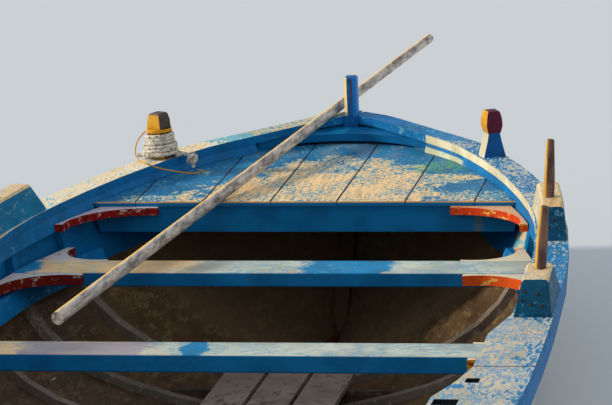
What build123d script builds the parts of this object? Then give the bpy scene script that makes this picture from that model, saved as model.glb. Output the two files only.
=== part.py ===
from build123d import *
import os
from math import cos, radians, sin, tan

os.makedirs("parts", exist_ok=True)

# A double-ended wooden rowing boat, afloat. Millimetres, +Y to the bow, +X to starboard, +Z up.
# The origin is on the centreline amidships, at the waterline.

# Hull
half_length = 2800.0        # amidships to the rabbet of either end post, at the rail
plank_thick = 18.0
plank_seam = 0.4            # caulked seam between planks
timber_gap = 0.3            # clearance between timbers that seat on each other
post_siding = 48.0          # width of the keel and the end posts
post_cover = 48.0           # end post ahead of the rabbet
post_moulded = 108.0        # end post, fore and aft
post_head = 136.0           # stem head above the rail
stern_head = 70.0
head_siding = 42.0          # head of either post, narrower than the post
head_moulded = 60.0
head_chamfer = 11.0
head_round = 9.0
keel_bottom = -285.0
keel_top = -168.0
keel_scarf = 500.0          # from the rabbet at the rail, aft to the scarf of keel and post
keel_end = half_length - keel_scarf

# Rail
cover_thick = 27.0          # covering board
cover_width = 60.0          # inboard of the planking's outer face
cap_width = 46.0            # the same at the bow cap pieces
rub_thick = 30.0            # rubbing strake outside the planking
rub_depth = 50.0
rub_gap = 1.4
seat_gap = 1.0              # clearance of a piece that seats against the curved side
clamp_thick = 14.0          # inwale, inside the frame heads
clamp_depth = 52.0
cap_length = 245.0          # along the rail, from the rabbet to the covering board's butt
cap_joint = half_length - cap_length
cover_taper = 255.0         # the covering board narrows over this length to the cap's width
scarf_at = -170.0           # butt of the fore and aft covering boards

# Frames and bottom boards
frame_siding = 34.0
frame_depth = 24.0
frame_pitch = 330.0
frames_each_way = 5
frame_joint = 4             # strake edge where the futtock meets the top timber
floor_siding = 38.0
floor_top = -85.0           # top of the floor timbers
sole_thick = 16.0
sole_width = 128.0
sole_pitch = 142.0
sole_ends = [1240.0, 1320.0, 1790.0]    # middle, next and outer boards' ends, from the rabbet

# Foredeck and aft deck
foredeck_length = 1000.0    # open edge to the rabbet
deck_edge = half_length - foredeck_length
deck_z = 405.0              # top at the aft edge
deck_slope = 1.2            # degrees, up to the bow
deck_thick = 16.0
king_width = 216.0          # middle plank
deck_plank = 222.0
plank_gap = 2.0
deck_side_gap = 3.0
deck_overhang = 6.0
beam_siding = 50.0
beam_depth = 84.0
inner_beam_siding = 40.0
inner_beam_depth = 60.0
inner_beam_from_edge = 440.0
aft_deck_length = 740.0
aft_deck_edge = aft_deck_length - half_length
aft_deck_z = 352.0
breasthook_length = 190.0
breasthook_thick = 26.0

# Thwarts: place of the middle, width, top, thickness
thwart_rows = {
    "thwart_fore": (1316.0, 164.0, 305.0, 45.0),
    "thwart_middle": (408.0, 144.0, 283.0, 52.0),
    "thwart_aft": (-492.0, 150.0, 272.0, 45.0),
    "stern_bench": (-1420.0, 260.0, 276.0, 40.0),
}
riser_thick = 22.0
riser_depth = 62.0
riser_end_gap = [160.0, 60.0]   # riser's ends from the aft deck's and the foredeck's open edges
knee_thick = 32.0
deck_knee_thick = 24.0

# Mooring posts and thole gear
bitt_from_rabbet = 572.0
bitt_y = half_length - bitt_from_rabbet
bitt_inset = 10.0           # middle of the post from the planking's outer face
thole_radius = 16.0
thole_tip_radius = 11.5
thole_straight = 64.0       # the pin is round and even this far up, then tapers
thole_shank = 13.0          # the pin's foot, in the block
thole_length = 173.0
thole_sink = 60.0
thole_fit = 0.3
thole_seat = 1.0            # the pin's shoulder above the block
block_height = 100.0
block_outside = 26.0        # outer foot from the planking's outer face, outboard
block_bevel = 7.0

# Pole: resting on the foredeck's aft edge and on the port bow cap
pole_radius = 20.0
pole_tip_radius = 16.0

# Sections of the hull, from the end post to amidships. The first column and the fifth are shares of
# the half length: where the section meets the rail and the keel. The others are the half breadth and
# rail height at the top, the garboard's height at the keel, and how full the bilge is.
#   from_post, half, rail_fore, rail_aft, keel_from_post, keel_z, fullness
section_rows = [
    (0.0000, 24.0, 505.0, 448.0, 0.107, -130.0, 0.00),
    (0.0143, 105.0, 499.0, 443.0, 0.121, -145.0, 0.10),
    (0.0393, 190.0, 490.0, 436.0, 0.138, -160.0, 0.20),
    (0.0857, 322.0, 480.0, 425.0, 0.168, -178.0, 0.32),
    (0.1429, 466.0, 473.0, 414.0, 0.207, -190.0, 0.45),
    (0.2143, 582.0, 466.0, 405.0, 0.257, -195.0, 0.58),
    (0.3036, 694.0, 456.0, 398.0, 0.329, -198.0, 0.70),
    (0.4286, 808.0, 444.0, 390.0, 0.436, -200.0, 0.82),
    (0.5536, 876.0, 436.0, 385.0, 0.557, -200.0, 0.91),
    (0.7143, 918.0, 421.0, 382.0, 0.714, -200.0, 0.97),
    (0.8929, 934.0, 408.0, 387.0, 0.893, -200.0, 1.00),
    (1.0000, 936.0, 397.0, 397.0, 1.000, -200.0, 1.00),
]
smoothed_spans = range(1, 9)    # spans of the table that get one more section, on a smooth curve
station_clear = 14.0            # least distance between a station and another section of a timber

# Strake edges as the share of the way round a section, from the keel to the rail.
strake_edges = [0.0, 0.13, 0.25, 0.36, 0.47, 0.58, 0.69, 0.79, 0.89, 1.0]
strake_groups = {
    "bottom_strakes": range(0, 5),
    "topside_strakes": range(5, 7),
    "second_strake": range(7, 8),
    "sheer_strake": range(8, 9),
}

beyond = 2 * half_length        # wider than the hull, for cuts that go right through it

# Places where the planks of a strake butt, from aft forward, as shares of the half length. The strakes
# take the two rows in turn, so that the butts are staggered.
butt_rows = [
    [-0.825, -0.589, -0.236, 0.118, 0.471, 0.730],
    [-0.825, -0.648, -0.471, -0.118, 0.236, 0.589, 0.790],
]

up = Vector(0, 0, 1)


def between(a, b, share):
    return a + (b - a) * share


def slopes(rows, i):
    """Slope of each column of the table at row i, by the row's place."""
    before, here, after = rows[max(i - 1, 0)], rows[i], rows[min(i + 1, len(rows) - 1)]
    return [(far - near) / (after[0] - before[0]) for near, far in zip(before, after)]


def smooth_rows(rows):
    """The table with one more row inside each smoothed span, on a cubic through the rows beside it."""
    full = []
    for i, (near, far) in enumerate(zip(rows, rows[1:])):
        full.append(near)
        if i in smoothed_spans:
            eighth = (far[0] - near[0]) / 8
            full.append([
                (a + b) / 2 + eighth * (slope_a - slope_b)
                for a, b, slope_a, slope_b in zip(near, far, slopes(rows, i), slopes(rows, i + 1))
            ])
    return full


def section_curve(row, end):
    """Four control points of one section, starboard side: end is 1 at the bow, -1 at the stern."""
    from_post, half, rail_fore, rail_aft, keel_from_post, keel_z, fullness = row
    rail = rail_fore if end > 0 else rail_aft
    top = Vector(half, end * half_length * (1 - from_post), rail - cover_thick)
    foot = Vector(post_siding / 2, end * half_length * (1 - keel_from_post), keel_z)
    spread = half - post_siding / 2
    low = Vector(
        foot.X + 0.62 * fullness * spread,
        between(foot.Y, top.Y, 0.33),
        keel_z + 70.0 + (1 - fullness) * 120.0,
    )
    high = Vector(
        foot.X + (0.50 + 0.53 * fullness) * spread,
        between(foot.Y, top.Y, 0.80),
        -60.0 + (1 - fullness) * 150.0,
    )
    return foot, low, high, top


def on_curve(controls, share):
    foot, low, high, top = controls
    rest = 1 - share
    return (foot * rest ** 3 + low * (3 * rest * rest * share)
            + high * (3 * rest * share * share) + top * share ** 3)


# Stations from the sternpost to the stem, each with its points and inward normals at the strake edges.
side_rows = smooth_rows(section_rows)
curves = [section_curve(row, -1) for row in side_rows]
curves.append(section_curve(section_rows[-1], 1))
curves += [section_curve(row, 1) for row in reversed(side_rows)]
points = [[on_curve(curve, share) for share in strake_edges] for curve in curves]
last = len(curves) - 1
edges = range(len(strake_edges))


def inward(station, edge):
    """Unit normal of the planking, into the boat."""
    along = points[min(station + 1, last)][edge] - points[max(station - 1, 0)][edge]
    share = strake_edges[edge]
    around = (on_curve(curves[station], min(share + 0.02, 1.0))
              - on_curve(curves[station], max(share - 0.02, 0.0)))
    return around.cross(along).normalized()


normals = [[inward(station, edge) for edge in edges] for station in range(last + 1)]


def skin_point(y, edge, depth):
    """Point at one strake edge in the plane at y, depth inside the planking's outer face."""
    line = [points[i][edge] + normals[i][edge] * depth for i in range(last + 1)]
    for near, far in zip(line, line[1:]):
        if y <= far.Y or far is line[-1]:
            return between(near, far, (y - near.Y) / (far.Y - near.Y))
    return line[-1]


def skin_x(y, z, depth):
    """Half breadth in the plane at y and height z, depth inside the planking's outer face."""
    side = [skin_point(y, edge, depth) for edge in edges]
    for low, high in zip(side, side[1:]):
        if z <= high.Z or high is side[-1]:
            return between(low.X, high.X, (z - low.Z) / (high.Z - low.Z))
    return side[-1].X


def rail_point(y):
    """Outer top edge of the planking at y, and the unit run of the rail there."""
    line = [row[-1] for row in points]
    for i in range(last):
        if y <= line[i + 1].Y or i + 1 == last:
            share = (y - line[i].Y) / (line[i + 1].Y - line[i].Y)
            before = (line[i + 1] - line[max(i - 1, 0)]).normalized()
            after = (line[min(i + 2, last)] - line[i]).normalized()
            return between(line[i], line[i + 1], share), between(before, after, share)
    return line[-1], up


def rail_plane(y, height=0.0):
    """Plane across the rail at y: its x runs inboard and its y up, from the planking's top edge."""
    origin, run = rail_point(y)
    inboard = Vector(-run.Y, run.X, 0).normalized()
    return Plane(origin=origin + up * height, x_dir=inboard, z_dir=inboard.cross(up))


def rail_top(y):
    return rail_point(y)[0].Z + cover_thick


def with_stations(places):
    """The given places, and every station between them that is clear of them."""
    inside = [row[-1].Y for row in points if min(places) < row[-1].Y < max(places)]
    clear = [y for y in inside if min(abs(y - place) for place in places) > station_clear]
    return sorted(set(places + clear))


def side_lean(y):
    """Run inboard of the sheer strake's outer face for each millimetre down."""
    top = skin_point(y, len(strake_edges) - 1, 0)
    low = skin_point(y, len(strake_edges) - 2, 0)
    return (top.X - low.X) / (top.Z - low.Z) * abs(rail_plane(y).x_dir.X)


def strake_section(station, edge):
    """Plane and outline of the strake above one edge, across its own run."""
    low, high = points[station][edge], points[station][edge + 1]
    rise = (high - low).normalized()
    mean = normals[station][edge] + normals[station][edge + 1]
    depth = (mean - rise * mean.dot(rise)).normalized()
    is_sheer = edge + 2 == len(strake_edges)
    width = (high - low).length - (0 if is_sheer else plank_seam)
    level = -depth.Z / rise.Z
    top_bevel = level if is_sheer else normals[station][edge + 1].dot(rise)
    outline = [
        (0, 0),
        (width, 0),
        (width + top_bevel * plank_thick, plank_thick),
        (normals[station][edge].dot(rise) * plank_thick, plank_thick),
    ]
    return Plane(origin=low, x_dir=rise, z_dir=rise.cross(depth)), outline


def write(piece, name):
    piece.part.label = name
    export_step(piece.part, f"parts/{name}.step")


def write_pair(piece, name):
    """The starboard piece, and its mirror image to port."""
    write(piece, f"{name}_starboard")
    with BuildPart() as twin:
        mirror(piece.part, about=Plane.YZ)
    write(twin, f"{name}_port")


# Backbone

with BuildPart() as keel:
    with BuildSketch(Plane.YZ):
        with Locations((0, (keel_bottom + keel_top) / 2)):
            Rectangle(2 * keel_end - 2 * timber_gap, keel_top - keel_bottom)
    extrude(amount=post_siding / 2, both=True)
    chamfer(keel.edges().filter_by(Axis.Y).group_by(Axis.Z)[0], 5)
write(keel, "keel")


def post_outline(end):
    """Side view of an end post up to the rail: curved forefoot, plumb above."""
    foot, low, high, top = curves[last if end > 0 else 0]
    rail = top.Z + cover_thick
    ahead = abs(top.Y) + post_cover
    behind = ahead - post_moulded
    knuckle = between(low.Z, high.Z, 0.5) + 190
    belly_out = Vector(0, abs(low.Y) + post_cover + 32, low.Z - 42)
    belly_in = Vector(0, belly_out.Y - post_moulded * 0.98, belly_out.Z + post_moulded * 0.72)
    with BuildLine() as line:
        Polyline(
            (end * keel_end, keel_top), (end * keel_end, keel_bottom), (end * (keel_end + 120), keel_bottom + 4),
        )
        ThreePointArc(
            (end * (keel_end + 120), keel_bottom + 4),
            (end * belly_out.Y, belly_out.Z),
            (end * ahead, knuckle),
        )
        Polyline((end * ahead, knuckle), (end * ahead, rail), (end * behind, rail), (end * behind, knuckle))
        ThreePointArc(
            (end * behind, knuckle),
            (end * belly_in.Y, belly_in.Z),
            (end * (keel_end + 60), keel_top),
        )
        Line((end * (keel_end + 60), keel_top), (end * keel_end, keel_top))
    return line


def end_post(end, head, room=0.0):
    """An end post, or with room the space that other pieces leave for it on either side. Its head is
    narrower than the post, chamfered on the side of the boat and rounded on top."""
    outline = post_outline(end)
    top = curves[last if end > 0 else 0][-1]
    face = abs(top.Y) + post_cover - post_moulded
    half = head_siding / 2
    head_outline = [
        (half, face + head_moulded), (half, face + head_chamfer), (half - head_chamfer, face),
        (head_chamfer - half, face), (-half, face + head_chamfer), (-half, face + head_moulded),
    ]
    with BuildPart() as post:
        with BuildSketch(Plane.YZ):
            add(outline.line)
            make_face()
        extrude(amount=post_siding / 2 + room, both=True)
        with BuildSketch(Plane.XY.offset(top.Z + cover_thick)):
            with BuildLine():
                Polyline(*[(x, end * y) for x, y in head_outline], close=True)
            make_face()
        extrude(amount=head)
        fillet(post.edges().group_by(Axis.Z)[-1], head_round)
    return post


stem = end_post(1, post_head)
write(stem, "stem_post")
sternpost = end_post(-1, stern_head)
write(sternpost, "stern_post")

# Room that planks, rails and caps leave for the backbone
stem_room = end_post(1, post_head, timber_gap)
stern_room = end_post(-1, stern_head, timber_gap)
with BuildPart() as backbone_room:
    add(stem_room.part)
    add(stern_room.part)
    with BuildSketch(Plane.YZ):
        with Locations((0, (keel_bottom + keel_top) / 2)):
            Rectangle(2 * keel_end, keel_top - keel_bottom)
    extrude(amount=post_siding / 2 + timber_gap, both=True)

# Planking


def strake(edge):
    """One strake: sections at every station, cut to the backbone and into butted planks."""
    with BuildPart() as planks:
        for station in range(last + 1):
            plane, outline = strake_section(station, edge)
            with BuildSketch(plane):
                with BuildLine():
                    Polyline(*outline, close=True)
                make_face()
        loft(ruled=True)
        add(backbone_room.part, mode=Mode.SUBTRACT)
        with Locations(*[(0, share * half_length, 0) for share in butt_rows[edge % 2]]):
            Box(beyond, plank_seam, beyond, mode=Mode.SUBTRACT)
    return planks.part


for group, members in strake_groups.items():
    strakes = [strake(edge) for edge in members]
    with BuildPart() as planking:
        add(strakes)
    write_pair(planking, group)

# Floor timbers and futtocks


def flat_loft(outlines):
    """Ruled loft through outlines in planes across the boat: pairs of y and (x, z) points."""
    with BuildPart() as piece:
        for y, outline in outlines:
            with BuildSketch(Plane.XZ.offset(-y)):
                with BuildLine():
                    Polyline(*outline, close=True)
                make_face()
        loft(ruled=True)
    return piece.part


def futtock_outline(y, low_edge, top_edge):
    """Outline of a frame's timber between two strake edges. Its foot stands clear of the one below."""
    outer = [skin_point(y, edge, plank_thick + timber_gap) for edge in range(low_edge, top_edge + 1)]
    inner = [skin_point(y, edge, plank_thick + frame_depth) for edge in range(low_edge, top_edge + 1)]
    for line in (outer, inner):
        line[0] += (line[1] - line[0]).normalized() * timber_gap
        share = (rail_point(y)[0].Z - line[-2].Z) / (line[-1].Z - line[-2].Z)
        line[-1] = between(line[-2], line[-1], min(share, 1.0))
    return [(p.X, p.Z) for p in outer + inner[::-1]]


def floor_outline(y):
    half = [Vector(post_siding / 2 + 1, y, keel_top + timber_gap)]
    half += [skin_point(y, edge, plank_thick + timber_gap) for edge in (1, 2)]
    top = max(floor_top, half[-1].Z + 24)
    side = [(p.X, p.Z) for p in half] + [(half[-1].X, top)]
    return side + [(-x, z) for x, z in side[::-1]]


frame_places = [frame_pitch * i for i in range(-frames_each_way, frames_each_way + 1)]
floors, futtocks = [], []
for y in frame_places:
    fore, aft = y + floor_siding / 2, y - floor_siding / 2
    floors.append(flat_loft([(aft, floor_outline(aft)), (fore, floor_outline(fore))]))
    near = y - (floor_siding + frame_siding) / 2 - timber_gap
    low_end, high_end = near - frame_siding / 2, near + frame_siding / 2
    is_open = aft_deck_edge + seat_gap < low_end and high_end < deck_edge - seat_gap
    top_edge = edges[-1] if is_open else edges[-3]
    for foot_edge, head_edge in ((1, frame_joint), (frame_joint, top_edge)):
        futtocks.append(flat_loft([
            (low_end, futtock_outline(low_end, foot_edge, head_edge)),
            (high_end, futtock_outline(high_end, foot_edge, head_edge)),
        ]))
with BuildPart() as floor_timbers:
    add(floors)
write(floor_timbers, "floor_timbers")
with BuildPart() as frames:
    add(futtocks)
write_pair(frames, "frames")

# Bottom boards

soles = []
for place in range(1 - len(sole_ends), len(sole_ends)):
    reach = half_length - sole_ends[abs(place)]
    with BuildPart() as board:
        with BuildSketch(Plane.XY.offset(floor_top + timber_gap)):
            with Locations((place * sole_pitch, 0)):
                Rectangle(sole_width, 2 * reach)
        extrude(amount=sole_thick)
    soles.append(board.part)
with BuildPart() as bottom_boards:
    add(soles)
write(bottom_boards, "bottom_boards")

# Rails


def rail_loft(places, outline, clip_middle=False):
    """A timber along the starboard rail: its outline at each station, as (inboard, up) points."""
    with BuildPart() as timber:
        for y in with_stations(places):
            with BuildSketch(rail_plane(y)):
                with BuildLine():
                    Polyline(*outline(y), close=True)
                make_face()
        loft(ruled=True)
        if clip_middle:
            split(bisect_by=Plane.YZ.offset(timber_gap / 2), keep=Keep.TOP)
        add(backbone_room.part, mode=Mode.SUBTRACT)
    return timber


def rub_outline(y):
    lean = side_lean(y) * rub_depth
    return [
        (-rub_gap, 0), (-rub_thick, 0), (lean - rub_thick, -rub_depth), (lean - 1.5 * rub_gap, -rub_depth),
    ]


def clamp_outline(y):
    lean = side_lean(y) * clamp_depth
    near = plank_thick + frame_depth + 2 * seat_gap
    far = near + clamp_thick
    return [(near, 0), (far, 0), (far + lean, -clamp_depth), (near + lean, -clamp_depth)]


def deck_top(y):
    """Height of the foredeck's top at y."""
    return deck_z + (y - deck_edge) * tan(radians(deck_slope))


def waterway_outline(y):
    """The inwale's line carried on over the foredeck, from the deck up to the covering board."""
    depth = rail_point(y)[0].Z - deck_top(y) - timber_gap
    lean = side_lean(y) * depth
    far = cover_reach(y) - 2 * seat_gap
    near = far - clamp_thick
    return [(near, 0), (far, 0), (far + lean, -depth), (near + lean, -depth)]


# Width of the covering board inboard of the planking: it widens at the aft rowing place.
#   y, width
cover_rows = [
    (-cap_joint, cap_width),
    (cover_taper - cap_joint, cover_width),
    (-1050.0, cover_width),
    (-750.0, 195.0),
    (-455.0, 195.0),
    (-300.0, 155.0),
    (scarf_at, 130.0),
    (120.0, 130.0),
    (330.0, 84.0),
    (1180.0, 69.0),
    (1480.0, cover_width),
    (cap_joint - cover_taper, cover_width),
    (cap_joint, cap_width),
]


def cover_places(start, end):
    """Ends of a covering board, and where its inner edge turns between them."""
    turns = [y for y, width in cover_rows if start + station_clear < y < end - station_clear]
    return [start] + turns + [end]


def cover_reach(y):
    for (near_y, near_w), (far_y, far_w) in zip(cover_rows, cover_rows[1:]):
        if near_y <= y <= far_y:
            return between(near_w, far_w, (y - near_y) / (far_y - near_y))
    return cap_width


def cover_outline(y):
    inner = cover_reach(y)
    low, high = timber_gap, timber_gap + cover_thick
    return [(-rub_thick, low), (inner, low), (inner, high), (-rub_thick, high)]


rail_end = points[last][-1].Y
write_pair(rail_loft([-rail_end, rail_end], rub_outline), "rubbing_strake")
clamp = rail_loft([aft_deck_edge + seat_gap, deck_edge - seat_gap], clamp_outline)
waterway = rail_loft([deck_edge, cap_joint - seat_gap], waterway_outline)
with BuildPart() as inwale:
    add(clamp.part)
    add(waterway.part)
write_pair(inwale, "inwale")
write_pair(rail_loft(cover_places(scarf_at + plank_seam, cap_joint - plank_seam), cover_outline),
           "covering_board_fore")

# Empty oblong thole holes through the wide covering board: place, inboard, along, across
slot_rows = [(-298.0, 115.0, 40.0, 36.0), (-500.0, 152.0, 54.0, 64.0)]
cover_aft_board = rail_loft(cover_places(plank_seam - cap_joint, scarf_at), cover_outline)
with BuildPart() as cover_aft:
    add(cover_aft_board.part)
    for y, inboard, along, across in slot_rows:
        plane = rail_plane(y)
        middle = plane.origin + plane.x_dir * inboard
        with BuildSketch(Plane(origin=middle, x_dir=plane.x_dir, z_dir=up)):
            Rectangle(across, along)
    extrude(amount=2 * cover_thick, mode=Mode.SUBTRACT)
write_pair(cover_aft, "covering_board_aft")
write_pair(rail_loft([cap_joint, rail_end], cover_outline, clip_middle=True), "bow_cap")
write_pair(rail_loft([-rail_end, -cap_joint], cover_outline, clip_middle=True), "stern_cap")

# Decks


def deck_outline(edge_y, end, post_y):
    """Half of a deck: along the inside of the planking from its open edge to the end post."""
    places = with_stations([edge_y, post_y])[::end]
    height = (deck_z if end > 0 else aft_deck_z) - deck_thick
    rise = tan(radians(deck_slope))
    return [(skin_x(y, height + abs(y - edge_y) * rise, plank_thick + deck_side_gap), y) for y in places]


def lay_deck(edge_y, end, height):
    """Straight-laid planks of one deck, cut to the boat's side and the end post."""
    side = deck_outline(edge_y, end, end * (rail_end + post_cover - post_moulded - timber_gap))
    outline = side + [(-x, y) for x, y in side[::-1]]
    slope = radians(deck_slope) * end
    plane = Plane(origin=(0, edge_y, height), x_dir=(1, 0, 0), z_dir=(0, -sin(slope), cos(slope)))
    seams = [way * (king_width / 2 + i * deck_plank) for way in (-1, 1) for i in range(3)]
    seams = sorted(seams + [-beyond, beyond])
    planks = []
    for left, right in zip(seams, seams[1:]):
        with BuildPart() as plank:
            with BuildSketch(plane):
                with BuildLine():
                    Polyline(*[(x, y - edge_y) for x, y in outline], close=True)
                make_face()
                with Locations(((left + right) / 2, 0)):
                    Rectangle(right - left - plank_gap, beyond, mode=Mode.INTERSECT)
            extrude(amount=-deck_thick)
            add(backbone_room.part, mode=Mode.SUBTRACT)
        planks.append(plank.part)
    with BuildPart() as deck:
        add(planks)
    return deck


def cross_beam(y, siding, top, depth):
    """A beam from side to side, its ends cut to the inside of the planking."""
    faces = (y - siding / 2, y + siding / 2)
    reach_top, reach_low = [
        min(skin_x(face, height, plank_thick + seat_gap) for face in faces) for height in (top, top - depth)
    ]
    with BuildPart() as beam:
        with BuildSketch(Plane.XZ.offset(-faces[1])):
            with BuildLine():
                Polyline(
                    (-reach_top, top), (reach_top, top), (reach_low, top - depth), (-reach_low, top - depth),
                    close=True,
                )
            make_face()
        extrude(amount=siding)
    return beam


foredeck = lay_deck(deck_edge, 1, deck_z)
write(foredeck, "foredeck")
aft_deck = lay_deck(aft_deck_edge, -1, aft_deck_z)
write(aft_deck, "aft_deck")

beam_top = deck_z - deck_thick - timber_gap
deck_beam_y = deck_edge + deck_overhang + beam_siding / 2
write(cross_beam(deck_beam_y, beam_siding, beam_top, beam_depth), "foredeck_beam")
inner_beam_y = deck_edge + inner_beam_from_edge
inner_beam_top = deck_top(inner_beam_y - inner_beam_siding / 2) - deck_thick - timber_gap
write(cross_beam(inner_beam_y, inner_beam_siding, inner_beam_top, inner_beam_depth), "foredeck_inner_beam")
aft_beam_y = aft_deck_edge - deck_overhang - beam_siding / 2
aft_beam_top = aft_deck_z - deck_thick - timber_gap
write(cross_beam(aft_beam_y, beam_siding, aft_beam_top, beam_depth * 0.85), "aft_deck_beam")

# Breasthook: a crook under the bow caps, its aft edge hollowed


def breasthook_side(y):
    """Height of the breasthook's top at y, and its half breadth there."""
    ends = [rail_point(place)[0].Z for place in (hook_aft, hook_fore)]
    top = between(*ends, (y - hook_aft) / breasthook_length) - timber_gap - seat_gap
    levels = (top, top - breasthook_thick)
    return top, min(skin_x(y, level, plank_thick + 3 * seat_gap) for level in levels)


hook_fore = rail_end + post_cover - post_moulded - timber_gap
hook_aft = hook_fore - breasthook_length
hook_top, hook_half = breasthook_side(hook_aft)
hook_rise = (breasthook_side(hook_fore)[0] - hook_top) / breasthook_length
hook_plane = Plane(origin=(0, hook_aft, hook_top), x_dir=(1, 0, 0), z_dir=(0, -hook_rise, 1))
with BuildPart() as breasthook:
    with BuildSketch(hook_plane):
        hook_side = [(breasthook_side(y)[1], y - hook_aft) for y in with_stations([hook_aft, hook_fore])]
        with BuildLine():
            Polyline((-hook_half, 0), *[(-x, y) for x, y in hook_side[1:]], *hook_side[:0:-1], (hook_half, 0))
            ThreePointArc((hook_half, 0), (0, breasthook_length * 0.55), (-hook_half, 0))
        make_face()
    extrude(amount=-breasthook_thick)
    add(backbone_room.part, mode=Mode.SUBTRACT)
write(breasthook, "breasthook")

# Thwarts, risers and knees

frame_face = plank_thick + frame_depth + seat_gap
for name, (y, width, top, thick) in thwart_rows.items():
    ends = [(skin_x(face, top - thick, frame_face), face) for face in (y - width / 2, y + width / 2)]
    with BuildPart() as thwart:
        with BuildSketch(Plane.XY.offset(top - thick)):
            with BuildLine():
                Polyline(*ends, *[(-x, face) for x, face in ends[::-1]], close=True)
            make_face()
        extrude(amount=thick)
        fillet(thwart.edges().filter_by(Axis.X), 5)
    write(thwart, name)

# Risers: the line under the thwarts, then its ends, which rise a little
riser_line = []
for y, width, top, thick in sorted(thwart_rows.values()):
    riser_line += [(y - width / 2, top - thick - timber_gap), (y + width / 2, top - thick - timber_gap)]
riser_line.insert(0, (aft_deck_edge + riser_end_gap[0], riser_line[0][1] + 6))
riser_line.append((deck_edge - riser_end_gap[1], riser_line[-1][1] + 8))


def riser_top(y):
    for (near_y, near_z), (far_y, far_z) in zip(riser_line, riser_line[1:]):
        if near_y <= y <= far_y:
            return between(near_z, far_z, (y - near_y) / (far_y - near_y))
    return riser_line[-1][1]


def riser_outline(y):
    top = riser_top(y)
    outer_top = skin_x(y, top, frame_face)
    outer_low = skin_x(y, top - riser_depth, frame_face)
    return [
        (outer_top, top), (outer_top - riser_thick, top),
        (outer_low - riser_thick, top - riser_depth), (outer_low, top - riser_depth),
    ]


riser_run = flat_loft([(y, riser_outline(y)) for y in with_stations([y for y, z in riser_line])])
with BuildPart() as riser:
    add(riser_run)
write_pair(riser, "riser")


def knee(face_y, way, top, thick, beam_arm, side_arm, depth, tip=26.0):
    """Starboard lodging knee: one arm along a beam's face, one along the side, its throat curved."""
    low = top - thick
    places = [face_y + way * side_arm * share for share in (0, 0.34, 0.67, 1)]
    side = [(skin_x(y, low, depth), y) for y in places]
    corner_x = side[0][0]
    side_tip = (side[-1][0] - tip, side[-1][1])
    beam_tip = (corner_x - beam_arm, face_y + way * tip)
    throat = (
        (side_tip[0] + beam_tip[0]) / 2 + beam_arm * 0.24,
        (side_tip[1] + beam_tip[1]) / 2 - way * side_arm * 0.24,
    )
    with BuildPart() as piece:
        with BuildSketch(Plane.XY.offset(low)):
            with BuildLine():
                Polyline(*side, side_tip)
                ThreePointArc(side_tip, throat, beam_tip)
                Polyline(beam_tip, (corner_x - beam_arm, face_y), side[0])
            make_face()
        extrude(amount=thick)
    return piece.part


deck_knee = knee(deck_edge + deck_overhang - timber_gap, -1, beam_top, deck_knee_thick, 190.0, 270.0,
                 frame_face + clamp_thick + seat_gap)
with BuildPart() as deck_knees:
    add(deck_knee)
write_pair(deck_knees, "deck_knee")

# Arms of each thwart's knees: along the thwart and along the side
#   name, beam_arm, side_arm
knee_rows = [
    ("thwart_fore", 225.0, 190.0),
    ("thwart_middle", 160.0, 170.0),
    ("thwart_aft", 160.0, 170.0),
]
for name, beam_arm, side_arm in knee_rows:
    y, width, top, thick = thwart_rows[name]
    depth = frame_face + seat_gap
    sides = [
        knee(y + way * (width / 2 + timber_gap), way, top - 3, knee_thick, beam_arm, side_arm, depth)
        for way in (1, -1)
    ]
    with BuildPart() as knees:
        add(sides)
        mirror(about=Plane.YZ)
    write(knees, f"{name}_knees")

# Thole blocks and pins

# Sloping blocks on the covering board. By place: foot and top of the aft face, top and foot of the
# fore slope. By distance inboard of the planking: the inner face's foot and top. Then the pin's place,
# inset and lean outboard in degrees, and whether there is a pin to port too.
#   name, aft_foot, aft_top, fore_top, fore_foot, inner_foot, inner_top, pin_y, pin_inset, lean, to_port
block_rows = [
    ("fore", 1112.0, 1124.0, 1440.0, 1520.0, 57.0, 50.0, 1250.0, 24.0, 3.0, False),
    ("middle", 285.0, 302.0, 480.0, 585.0, 78.0, 56.0, 425.0, 14.0, 5.5, True),
]
block_foot = 8.0            # height left at the ends
block_lean = 8.0            # outer face, inboard at its top


def block_outline(height, inner_foot, inner_top):
    """Section of a block at a place where it is so high, with bevelled upper edges."""
    base = cover_thick + 2 * timber_gap
    share = height / block_height
    outer = between(-block_outside, block_lean - block_outside, share)
    inner = between(inner_foot, inner_top, share)
    bevel = block_bevel * share
    return [
        (-block_outside, base), (inner_foot, base),
        (inner, base + height - bevel), (inner - bevel, base + height),
        (outer + bevel, base + height), (outer, base + height - bevel),
    ]


def thole_block(aft_foot, aft_top, fore_top, fore_foot, inner_foot, inner_top):
    """A block seated along the rail, with sloping ends."""
    heights = {aft_foot: block_foot, aft_top: block_height, fore_top: block_height, fore_foot: block_foot}
    with BuildPart() as block:
        for y in with_stations(list(heights)):
            below = max(place for place in heights if place <= y)
            above = min(place for place in heights if place >= y)
            share = 0 if above == below else (y - below) / (above - below)
            height = between(heights[below], heights[above], share)
            with BuildSketch(rail_plane(y)):
                with BuildLine():
                    Polyline(*block_outline(height, inner_foot, inner_top), close=True)
                make_face()
        loft(ruled=True)
    return block


def pin_plane(y, inset, lean):
    """Plane at the top of a thole block, square to a pin that leans outboard."""
    plane = rail_plane(y)
    place = plane.origin + plane.x_dir * inset + up * (cover_thick + 2 * timber_gap + block_height)
    tilt = radians(lean)
    return Plane(origin=place, x_dir=(cos(tilt), 0, -sin(tilt)), z_dir=(sin(tilt), 0, cos(tilt)))


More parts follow.
